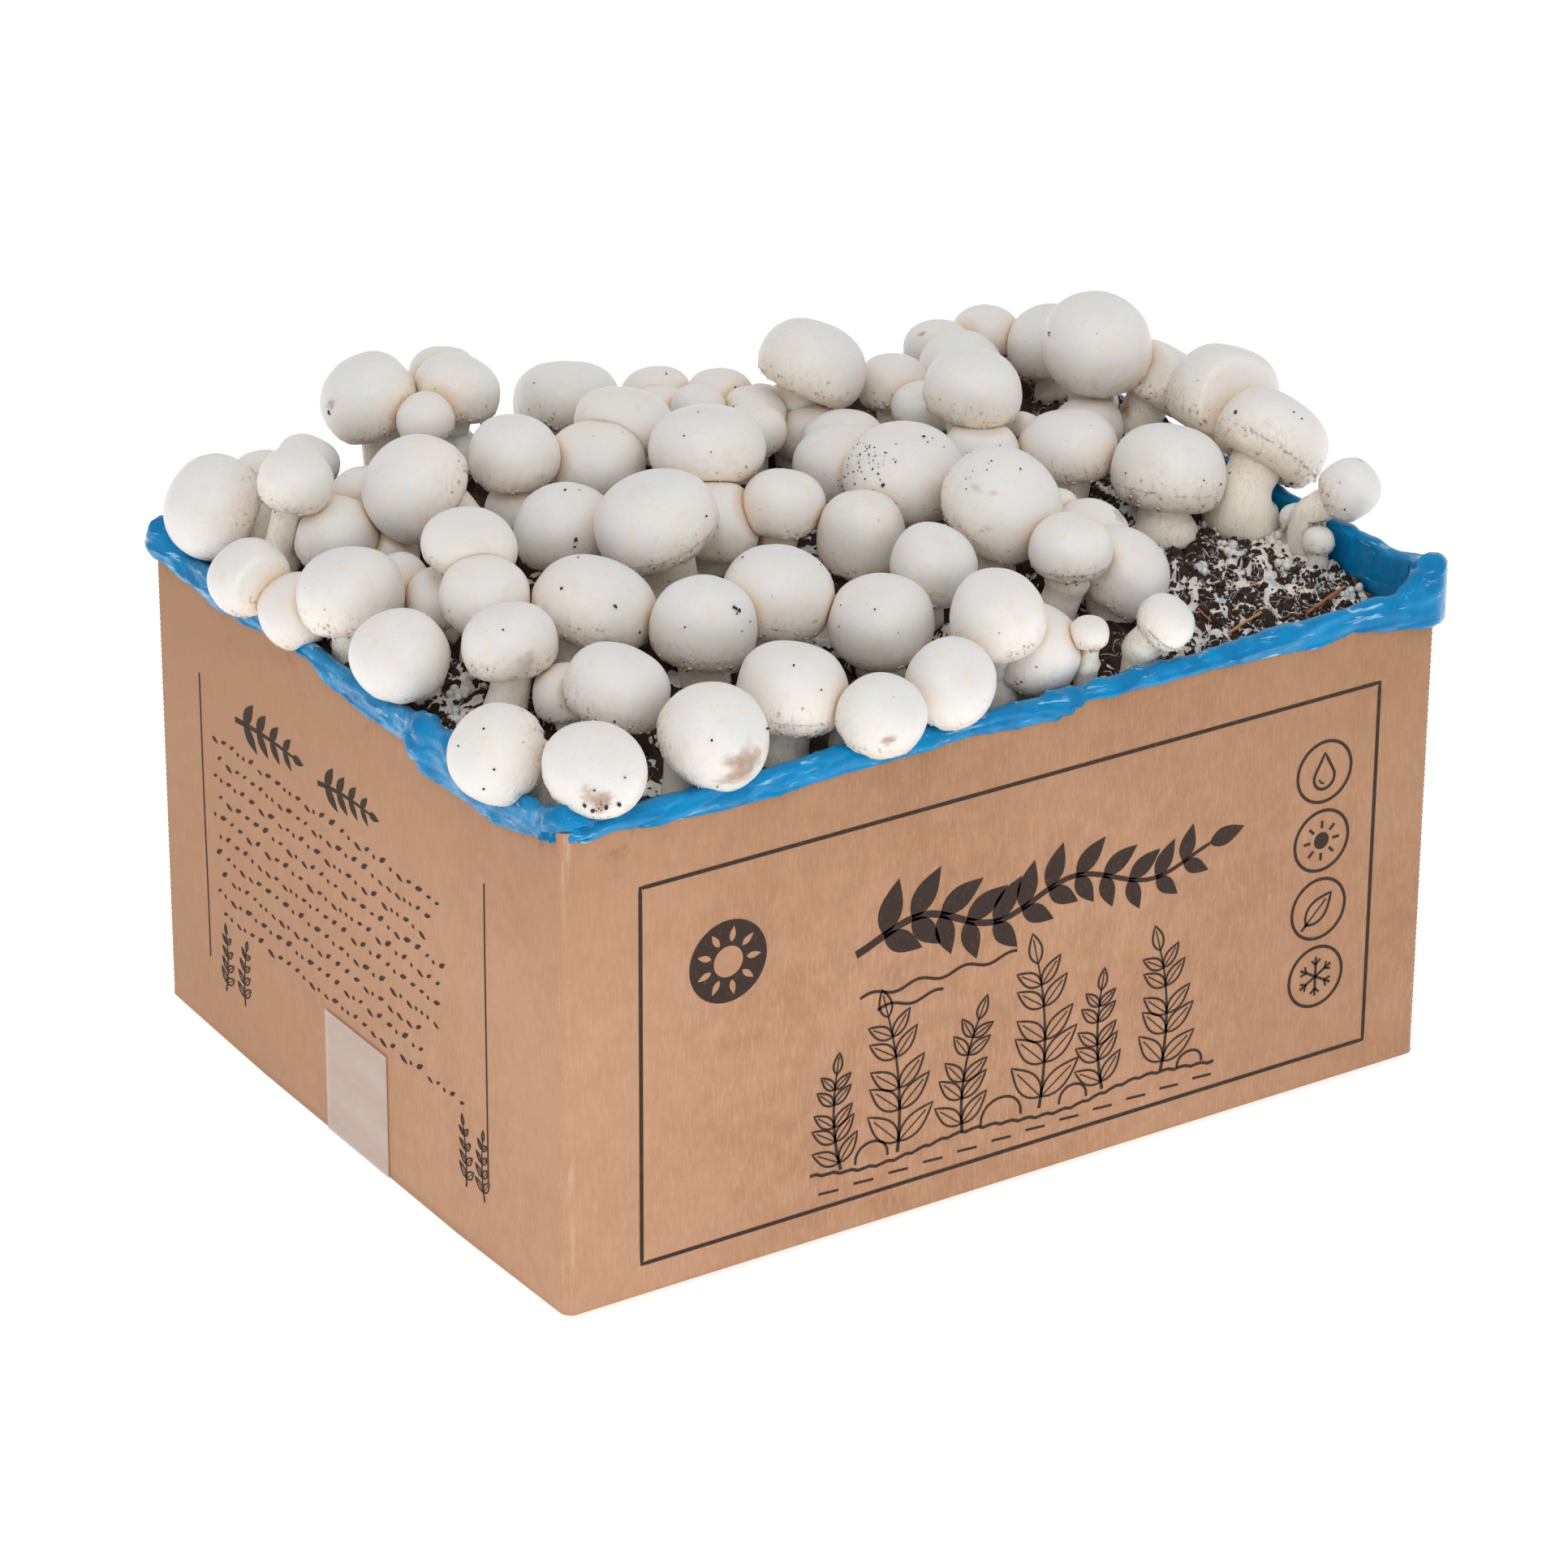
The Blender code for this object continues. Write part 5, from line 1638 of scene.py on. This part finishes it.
def addFlakes(heap, growth, chance):
    # Scales on the lower part of a cap: small closed points that lie along the skin
    rows = growth.rows[: mushroom["capRows"]]
    heights = growth.rises[: rows.shape[0] * growth.around].reshape(rows.shape[:2])[:, 0]
    amount = int(growth.across * mushroom["flakes"])
    places = np.clip(chance.normal(scaleBits["middle"], scaleBits["spread"], amount), *scaleBits["between"])
    shapes, faces = [], []
    for number, place in enumerate(places):
        row = int(np.argmin(np.abs(heights - place)))
        column = chance.integers(growth.around)
        start, end = rows[row, column], rows[row, (column + 1) % growth.around]
        foot = start + (end - start) * chance.random()
        down = rows[min(row + 1, len(rows) - 1), column] - rows[row - 1, column]
        down /= np.linalg.norm(down) + 1e-9
        out = foot - growth.centre
        out /= np.linalg.norm(out)
        side = np.cross(out, down)
        reach = 1.0 + scaleBits["largest"] * float(smoothStep(place, *scaleBits["larger"]))
        long = chance.uniform(*scaleBits["long"]) * reach
        wide = chance.uniform(*scaleBits["wide"]) * reach
        tip = foot + down * long + out * chance.uniform(*scaleBits["lift"]) * reach
        tip = tip + side * chance.normal() * scaleBits["aside"]
        base = foot + out * 0.02
        shapes.append([base + side * wide, base - side * wide, base + down * long * 0.5, tip])
        faces.append(thorn + number * 4)
    if amount:
        heap.add(np.concatenate(shapes), [np.concatenate(faces)], 2, **noMarks)


# Torn veil at a rim: its row on the cap as a share, and its sizes in mm
veil = {
    "row": 0.66,
    "places": (0.15, 0.5, 0.85),
    "missing": 0.25,
    "long": (0.25, 1),
    "wide": (0.4, 1.0),
    "out": (-0.1, 0.5),
    "aside": (-0.5, 0.5),
    "thick": 0.12,
}


def addShreds(heap, growth, start, end, longest, chance):
    # Torn veil: small closed points that hang from the rim
    rimRow = int(mushroom["capRows"] * veil["row"])
    ring = growth.rows[rimRow]
    below = growth.rows[rimRow + 2]
    angles = np.degrees(np.arctan2(*(ring - growth.centre)[:, 1::-1].T)) % 360
    for number in range(growth.around):
        if not start <= angles[number] <= end:
            continue
        after = (number + 1) % growth.around
        for share in veil["places"]:
            if chance.random() < veil["missing"]:
                continue
            foot = ring[number] * (1 - share) + ring[after] * share
            inner = below[number] * (1 - share) + below[after] * share
            out = foot - growth.centre
            out = out * (1, 1, 0) / np.linalg.norm(out[:2])
            side = np.array((-out[1], out[0], 0))
            long = longest * chance.uniform(*veil["long"])
            wide = chance.uniform(*veil["wide"])
            tip = foot + out * long * chance.uniform(*veil["out"]) - np.array((0, 0, long))
            tip = tip + side * chance.uniform(*veil["aside"])
            root = foot * 0.7 + inner * 0.3
            points = np.array([root + side * wide, root - side * wide, root - out * veil["thick"], tip])
            heap.add(points, [thorn], 2, **noMarks)


def makeMushrooms(growths, tree, materials):
    chance = np.random.default_rng(5)
    stains = hitsOf(tree, stainSpots)
    loose = []
    for column, row, spread, count in sprinkles:
        for _ in range(count):
            place = column + chance.normal() * spread, row + chance.normal() * spread * 0.8
            loose.append((*place, float(chance.uniform(0.35, 0.95))))
    dirtBits = hitsOf(tree, (*crumbSpots, *loose))
    heaps = {}
    for growth in growths:
        others = [other for other in growths if other is not growth
                  and np.linalg.norm(other.centre - growth.centre) < (other.across + growth.across) * 0.75]
        points = growth.points
        near = growth.closeness(others, points)
        above = points[:, 2] - soilHeight(points[:, 0], points[:, 1])
        grit = np.exp(-np.maximum(above, 0) / 3.0)
        stain = np.zeros(len(points))
        for place, _, width, strength in stains:
            away = np.linalg.norm(points - place, axis=1) / (width / 2)
            away = away + 0.45 * lumps(points, width * 0.22, 31)
            stain = np.maximum(stain, strength * smoothStep(away, 1.25, 0.5))
        heap = heaps.setdefault(growth.node, Heap())
        marks = {"rise": growth.rises, "near": near, "stem": growth.stems, "stain": stain, "grit": grit}
        heap.add(points, growth.faces(), **marks)
        addFlakes(heap, growth, chance)
        for name, start, end, longest in shaggyRims:
            if name == growth.node and growth.number == 0:
                addShreds(heap, growth, start, end, longest, chance)
    ball = ballShape(1)
    for place, normal, width in dirtBits:
        nearest = min(growths, key=lambda growth: np.min(((growth.points - place) ** 2).sum(1)))
        count = 1 if width < 1.25 else 3
        places = place + normal * 0.1 + chance.normal(size=(count, 3)) * 0.3 * (count > 1)
        sizes = np.abs(chance.normal(1, 0.25, size=(count, 3))) * width * 0.42
        points, faces = scattered(ball, places, sizes, chance, 0.25)
        heaps[nearest.node].add(points, [faces], 1, **noMarks)
    for node, heap in heaps.items():
        name = node.replace("mushroom_", "buttonMushroom").replace("cluster_", "buttonCluster")
        piece = heap.build(name, materials)
        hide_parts(node)
    print("mushrooms made")


skin = {
    # The first two tones paint light and shade: a warm lower cap lit by bounce light, and a greyer crown in
    # shade
    "under": (0.90, 0.865, 0.81),
    "crown": (0.80, 0.80, 0.785),
    # Painted warm shade over the lower cap and the rim
    "rim": (0.92, 0.78, 0.64),
    # Painted warm shade where caps touch
    "contactShade": (0.94, 0.74, 0.56),
    "patch": (0.86, 0.765, 0.68),
    "blotch": (0.84, 0.70, 0.57),
    "fleck": (0.74, 0.65, 0.55),
    "scale": (0.80, 0.69, 0.57),
    "stem": (0.93, 0.86, 0.75),
    "stemLine": (0.66, 0.54, 0.41),
    "stain": (0.36, 0.21, 0.115),
    "soiled": (0.22, 0.13, 0.08),
    "dust": (0.20, 0.12, 0.07),
    "dot": (0.20, 0.13, 0.085),
}


def mushroomMaterial():
    made, graph = newMaterial("mushroom skin")
    places = graph.places()
    rise, near, stem = graph.mark("rise"), graph.mark("near"), graph.mark("stem")
    stain, grit = graph.mark("stain"), graph.mark("grit")
    wide = graph.noise(places, 14.0, 3.0, 0.6)
    fine = graph.noise(places, 2.4, 4.0, 0.65)
    silk = graph.noise(graph.stretched(places, (1, 1, 0.35)), 0.9, 2.0, 0.6)
    blotch = graph.noise(places, 8.0, 4.0, 0.65).step(0.54, 0.68)
    scales = graph.noise(graph.stretched(places, (1, 1, 0.42)), 1.5, 3.0, 0.65)
    scaly = scales.step(0.52, 0.68) * rise.step(0.45, -0.25)
    dust = graph.noise(places, 1.6, 3.0, 0.7).step(0.62, 0.70)
    dots = graph.cells(places, 6.5).step(0.07, 0.045) * graph.noise(places, 11.0).step(0.55, 0.64)
    colour = graph.coats(
        # Painted light and shade by height: warm bounce light on the lower cap, grey shade on the crown
        graph.mix(rise.step(-0.35, 0.75), skin["under"], skin["crown"]),
        # Painted warm shade toward the rim
        (rise.step(0.1, -0.7) * 0.8, skin["rim"]),
        # Painted warm shade where caps touch
        (near * 0.85, skin["contactShade"]),
        (wide.step(0.45, 0.75) * 0.5, skin["patch"]),
        (blotch * 0.38, skin["blotch"]),
        (fine.step(0.56, 0.74) * 0.30, skin["fleck"]),
        (scaly * 0.35, skin["scale"]),
        (stem * 0.8, skin["stem"]),
        (stem * silk.step(0.55, 0.8) * 0.35, skin["stemLine"]),
        (stain * (0.45 + fine * 0.8), skin["stain"]),
        (grit * grit * 0.55, skin["soiled"]),
        (dust * (0.05 + stem * 0.35 + near * 0.1), skin["dust"]),
        (dots * 0.6, skin["dot"]),
    )
    relief = wide * 0.6 + fine * 0.8 + silk * 0.5 + scaly * 0.8 + dots * -0.4
    graph.surface({
        "Base Color": colour,
        "Roughness": 0.25 + fine * 0.2,
        "Specular IOR Level": 0.62,
        "Subsurface Weight": 0.6,
        "Subsurface Radius": (1.0, 0.6, 0.38),
        "Subsurface Scale": 0.006,
        "Sheen Weight": 0.08,
        "Normal": graph.bump(relief, 0.34, 0.9),
    })
    return made


def veilMaterial():
    # Torn skin and veil: drier and paler than the cap
    made, graph = newMaterial("torn veil")
    places = graph.places()
    patches = graph.noise(places, 5.0, 3.0, 0.6)
    colour = graph.mix(patches.step(0.35, 0.7), (0.93, 0.91, 0.87), (0.86, 0.78, 0.68))
    graph.surface({"Base Color": colour, "Roughness": 0.6, "Specular IOR Level": 0.3})
    return made


# Soil: a crumbly bed, loose crumbs, the white threads that run over it, and bits of straw
def soilField():
    # Heights of the bed on a grid, with round crumbs set into it
    endX, endY = roomX - soil["inset"], roomY - soil["inset"]
    xs = np.linspace(-endX, endX, round(2 * endX / soil["step"]) + 1)
    ys = np.linspace(-endY, endY, round(2 * endY / soil["step"]) + 1)
    gridX, gridY = np.meshgrid(xs, ys)
    flat = np.stack([gridX, gridY, np.zeros_like(gridX)], -1)
    heights = soilHeight(gridX, gridY) - soil["sunk"]
    for high, size, seed in soil["swells"]:
        heights = heights + high * lumps(flat, size, seed)
    chance = np.random.default_rng(17)
    for radius, count in soil["crumbs"]:
        placesX = chance.uniform(xs[0], xs[-1], count)
        placesY = chance.uniform(ys[0], ys[-1], count)
        sizes = radius * chance.uniform(0.75, 1.3, count)
        lifts = chance.uniform(-0.5, 0.35, count)
        for x, y, size, lift in zip(placesX, placesY, sizes, lifts):
            left, right = np.searchsorted(xs, (x - size, x + size))
            low, high = np.searchsorted(ys, (y - size, y + size))
            away = (gridX[low:high, left:right] - x) ** 2 + (gridY[low:high, left:right] - y) ** 2
            crumb = np.sqrt(np.maximum(size * size - away, 0))
            level = float(soilHeight(x, y)) - 1.2 + lift * size
            window = heights[low:high, left:right]
            np.maximum(window, np.where(crumb > 0, level + crumb * 0.9, 0), out=window)
    return xs, ys, heights


def fieldHeight(field, x, y):
    xs, ys, heights = field
    column = np.clip(np.searchsorted(xs, x) - 1, 0, len(xs) - 2)
    row = np.clip(np.searchsorted(ys, y) - 1, 0, len(ys) - 2)
    shareX = np.clip((x - xs[column]) / (xs[1] - xs[0]), 0, 1)
    shareY = np.clip((y - ys[row]) / (ys[1] - ys[0]), 0, 1)
    low = heights[row, column] * (1 - shareX) + heights[row, column + 1] * shareX
    high = heights[row + 1, column] * (1 - shareX) + heights[row + 1, column + 1] * shareX
    return low * (1 - shareY) + high * shareY


def blockUnder(grid, level):
    # Points and faces of a closed block: the grid on top, walls along its edges, and a flat underside
    rows, count = grid.shape[:2]
    top = grid.reshape(-1, 3)
    around = np.concatenate([
        np.arange(count), np.arange(1, rows) * count + count - 1,
        (rows - 1) * count + np.arange(count - 2, -1, -1), np.arange(rows - 2, 0, -1) * count,
    ])
    low = top[around] * (1, 1, 0) + (0, 0, level)
    first, total = len(top), len(around)
    after = np.roll(np.arange(total), -1)
    walls = np.stack([first + np.arange(total), first + after, around[after], around], -1)
    points = np.concatenate([top, low, [(0, 0, level)]])
    return points, [gridFaces(rows, count, False), walls, fanFaces(first, total, first + total)]


def makeSoilBed(field, material):
    xs, ys, heights = field
    gridX, gridY = np.meshgrid(xs, ys)
    jitter = np.random.default_rng(3).uniform(-soil["jitter"], soil["jitter"], size=(len(ys), len(xs), 2))
    jitter[[0, -1]] = 0
    jitter[:, [0, -1]] = 0
    grid = np.stack([gridX, gridY, heights], -1)
    grid[..., :2] += jitter
    piece = makePiece("soilBed", *blockUnder(grid, soil["bottom"]), [material])
    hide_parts("soil")


# Stretches of open bed: middle x and y, half width across and back, share of the crumbs or threads there
openBed = (
    (150, -105, 48, 45, 0.40),
    (165, -20, 35, 45, 0.14),
    (60, -130, 55, 25, 0.10),
    (185, 60, 14, 90, 0.08),
    (-165, -60, 30, 80, 0.13),
    (-60, -100, 100, 50, 0.07),
    (0, 110, 180, 45, 0.08),
)


def bedPlaces(count, chance):
    # Random places on the bed, more of them where it lies open
    found = []
    for x, y, halfX, halfY, share in openBed:
        number = int(count * share)
        found.append(np.column_stack([chance.uniform(x - halfX, x + halfX, number),
                                      chance.uniform(y - halfY, y + halfY, number)]))
    found = np.concatenate(found)
    inside = (np.abs(found[:, 0]) < roomX - 1.5) & (np.abs(found[:, 1]) < roomY - 1.5)
    return found[inside]


crumbs = {
    "count": 2800,
    "middleSize": 0.75,
    "sizeSpread": 0.42,
    "paleCount": 420,
    "paleSizes": (0.35, 0.8),
}


def strewn(field, places, lift):
    return np.column_stack([places, fieldHeight(field, places[:, 0], places[:, 1]) + lift])


def makeCrumbs(field, materials):
    chance = np.random.default_rng(23)
    heap = Heap()
    ball = ballShape(1)
    places = bedPlaces(crumbs["count"], chance)
    sizes = chance.lognormal(math.log(crumbs["middleSize"]), crumbs["sizeSpread"], len(places))
    spread = np.column_stack([sizes * chance.uniform(0.8, 1.3, len(places)) for _ in range(3)])
    points, faces = scattered(ball, strewn(field, places, sizes * 0.25), spread, chance, 0.22)
    heap.add(points, [faces])
    # Pale peat bits and beads
    places = bedPlaces(crumbs["paleCount"], chance)
    sizes = chance.uniform(*crumbs["paleSizes"], len(places))
    spread = np.column_stack([sizes, sizes * 1.6, sizes * 0.8])
    points, faces = scattered(ball, strewn(field, places, 0.35), spread, chance, 0.2)
    heap.add(points, [faces], 1)
    piece = heap.build("soilCrumbs", materials, smooth=False)


# Groups of pinheads: place, how far they spread, and how many
pinGroups = (
    (183, -62, 6.0, 12), (190, -80, 6.0, 12), (178, -78, 6.0, 10), (170, -66, 5.0, 8), (186, -118, 5.0, 8),
    (-169, -34, 5.0, 9), (-160, -29, 4.0, 7), (-179, -46, 4.5, 7), (30, -140, 4.2, 7), (127, -70, 4.2, 8),
    (150, -128, 3.4, 6), (164, -60, 6.0, 9), (156, -76, 5.0, 7), (172, -92, 4.0, 6), (140, -84, 4.0, 6),
)


def makePins(field, material):
    # Pinheads: clusters of round white knobs, the first stage of a mushroom
    chance = np.random.default_rng(29)
    heap = Heap()
    ball = ballShape(2)
    for x, y, spread, count in pinGroups:
        for _ in range(count):
            place = np.array((x, y)) + chance.normal(size=2) * spread * 0.42
            size = chance.uniform(0.8, 2.1)
            level = float(fieldHeight(field, place[0], place[1])) + size * 0.6
            points, faces = scattered(ball, [(*place, level)], [(size, size, size * 1.15)], chance, 0.015)
            points = points + lumps(points, 1.6, 61)[:, None] * 0.12
            # The pins get a little of the painted contact shade
            heap.add(points, [faces], rise=0.1, near=0.35, stem=0.1, stain=0, grit=0.1)
    piece = heap.build("pinheads", [material])


# Felted mycelium: a skin that stands out of the soil in patches and as a net. Elsewhere it is hidden under it
felt = {
    # Middle, half width across and back, and how thickly it grows there
    "spots": (
        (150, -105, 60, 52, 0.34), (168, -40, 42, 42, 0.44), (188, -72, 20, 34, 0.85),
        (118, -132, 40, 20, 0.36), (-165, -42, 30, 30, 0.24), (60, -132, 50, 20, 0.24),
        (150, 40, 60, 30, 0.24), (-150, 100, 50, 40, 0.2), (-100, -110, 60, 40, 0.2), (0, -40, 170, 90, 0.26),
    ),
    "step": 1.4,
    "inset": 1.2,
    "backEdge": 55,
    "least": 1.26,  # the cover that shows
    "netSizes": (9.0, 5.0),
    "patchSizes": (19.0, 7.5),
    "tufts": ((0.7, 3.4, 75), (0.4, 1.7, 76)),  # height, size and seed
    "bottom": 150.0,
}


def makeFelt(field, material):
    xs = np.arange(-roomX + felt["inset"], roomX - felt["inset"], felt["step"])
    ys = np.arange(-roomY + felt["inset"], felt["backEdge"], felt["step"])
    gridX, gridY = np.meshgrid(xs, ys)
    flat = np.stack([gridX, gridY, np.zeros_like(gridX)], -1)
    thick = np.zeros_like(gridX)
    for x, y, halfX, halfY, share in felt["spots"]:
        away = ((gridX - x) / halfX) ** 2 + ((gridY - y) / halfY) ** 2
        thick = np.maximum(thick, share * smoothStep(away, 1.5, 0.2))
    coarse, fine = felt["netSizes"]
    net = np.maximum(creases(flat, coarse, 71), creases(flat, fine, 72) * 0.9)
    broad, small = felt["patchSizes"]
    patches = 0.5 + 0.9 * lumps(flat, broad, 73) + 0.5 * lumps(flat, small, 74)
    stand = np.clip((thick + 0.85 * net + 0.5 * patches - felt["least"]) * 3.2, -2.2, 1.3)
    for high, size, seed in felt["tufts"]:
        stand = stand + high * lumps(flat, size, seed)
    flat[..., 2] = fieldHeight(field, gridX.ravel(), gridY.ravel()).reshape(gridX.shape) + stand
    piece = makePiece("myceliumFelt", *blockUnder(flat, felt["bottom"]), [material])


threads = {
    "count": 720,
    "points": (9, 20),
    "steps": (0.7, 1.5),
    "wander": 0.42,
    "radii": (0.10, 0.14, 0.2, 0.32),
    "radiusShares": (0.35, 0.35, 0.2, 0.1),
    "tuftCount": 800,
    "tuftSizes": (0.25, 0.7),
}


def makeMycelium(field, material):
    # White threads: each wanders over the crumbs
    chance = np.random.default_rng(31)
    heap = Heap()
    for x, y in bedPlaces(threads["count"], chance):
        count = chance.integers(*threads["points"])
        heading = chance.uniform(0, 2 * math.pi)
        turns = heading + np.cumsum(chance.normal(0, threads["wander"], count))
        steps = chance.uniform(*threads["steps"])
        xs = x + np.cumsum(np.cos(turns)) * steps
        ys = y + np.cumsum(np.sin(turns)) * steps
        xs, ys = np.clip(xs, -roomX + 1, roomX - 1), np.clip(ys, -roomY + 1, roomY - 1)
        radius = chance.choice(threads["radii"], p=threads["radiusShares"])
        level = fieldHeight(field, xs, ys) + radius * 0.6 + 0.12 * np.abs(chance.normal(size=count))
        radii = radius * np.linspace(1.2, 0.4, count) * chance.uniform(0.7, 1.3, count)
        heap.add(*tube(np.column_stack([xs, ys, level]), radii))
    # Small tufts
    places = bedPlaces(threads["tuftCount"], chance)
    sizes = chance.uniform(*threads["tuftSizes"], len(places))
    spread = np.column_stack([sizes * 1.8, sizes, sizes * 0.6])
    points, faces = scattered(ballShape(1), strewn(field, places, 0.1), spread, chance, 0.3)
    heap.add(points, [faces])
    piece = heap.build("mycelium", [material])


# Bits lying on the bed: pixel of each end in the photograph, width in mm and kind
litterKinds = ("straw", "stick", "twig")
litter = (
    ((1610, 757), (1657, 725), 1.5, "straw"),
    ((1618, 752), (1650, 731), 1.0, "straw"),
    ((1513, 780), (1553, 765), 1.3, "stick"),
    ((1573, 777), (1607, 770), 1.2, "stick"),
    ((1430, 667), (1453, 648), 1.8, "twig"),
    ((1541, 717), (1556, 722), 0.9, "stick"),
    ((1476, 757), (1492, 766), 0.9, "straw"),
)


def makeLitter(field, materials):
    heap = Heap()
    chance = np.random.default_rng(37)
    for start, end, width, kind in litter:
        one, other = onBed(*start, 1.0), onBed(*end, 1.0)
        shares = np.linspace(0, 1, 9)[:, None]
        path = one + (other - one) * shares
        path[:, :2] += chance.normal(size=(9, 2)) * 0.12
        path[:, 2] = np.linspace(*fieldHeight(field, path[[0, -1], 0], path[[0, -1], 1]), 9) + width * 0.5
        lows = fieldHeight(field, path[:, 0], path[:, 1]) + width * 0.3
        path[:, 2] += max(0, (lows - path[:, 2]).max())
        points, faces = tube(path, width / 2 * chance.uniform(0.85, 1.1, 9), 7)
        heap.add(points, faces, litterKinds.index(kind))
    piece = heap.build("litter", materials)


earth = {
    "wet": (0.016, 0.011, 0.008),
    "dry": (0.058, 0.035, 0.024),
    "grain": (0.13, 0.075, 0.048),
    "bloom": (0.55, 0.54, 0.54),
}


def soilMaterial():
    made, graph = newMaterial("soil")
    places = graph.places()
    broad = graph.noise(places, 12.0, 3.0, 0.6)
    fine = graph.noise(places, 1.4, 4.0, 0.7)
    web = graph.cells(places, 3.0)
    bloom = graph.noise(places, 18.0, 2.0).step(0.45, 0.7) * web.step(0.62, 0.8) * fine.step(0.35, 0.6)
    right = graph.part(places, 0).step(40, 110)
    graph.surface({
        "Base Color": graph.coats(
            graph.mix(broad, earth["wet"], earth["dry"]),
            (fine.step(0.5, 0.75) * 0.6, earth["grain"]),
            (bloom * (0.10 + right * 0.45), earth["bloom"]),
        ),
        "Roughness": 0.93 - fine * 0.08,
        "Specular IOR Level": 0.25,
        "Normal": graph.bump(fine + graph.noise(places, 0.5, 2.0) * 0.4, 0.6, 0.9),
    })
    return made


mycelium = {
    "thin": (0.50, 0.51, 0.54),
    "thick": (0.88, 0.86, 0.82),
    "old": (0.84, 0.76, 0.66),
    "soiled": (0.22, 0.15, 0.11),
}


def threadMaterial():
    made, graph = newMaterial("mycelium")
    places = graph.places()
    fine = graph.noise(places, 1.6, 4.0, 0.7)
    graph.surface({
        "Base Color": graph.coats(
            graph.mix(graph.noise(places, 4.0, 3.0).step(0.3, 0.62), mycelium["thin"], mycelium["thick"]),
            (graph.noise(places, 11.0, 2.0).step(0.45, 0.62) * 0.8, mycelium["old"]),
            (fine.step(0.56, 0.68) * 0.55, mycelium["soiled"]),
        ),
        "Roughness": 0.85,
        "Specular IOR Level": 0.2,
        "Normal": graph.bump(fine, 0.4, 0.8),
    })
    return made


def buildAll():
    makeCamera()
    makeRoom()
    makeCarton(kraftMaterial())
    makePrint(*inkMaterials())
    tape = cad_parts["tape"]
    tape.data.materials.clear()
    tape.data.materials.append(tapeMaterial())
    rim = makeLiner(filmMaterial())
    field = soilField()
    bed, threadWhite, cap = soilMaterial(), threadMaterial(), mushroomMaterial()
    makeSoilBed(field, bed)
    makeCrumbs(field, [bed, plainMaterial("peat bits")])
    makeMycelium(field, threadWhite)
    makeFelt(field, threadWhite)
    makeLitter(field, [plainMaterial(name) for name in litterKinds])
    makePins(field, cap)
    print("bed made")
    growths = plantRows(rim)
    makeMushrooms(growths, treeOf(growths), [cap, plainMaterial("dirt"), veilMaterial()])


buildAll()
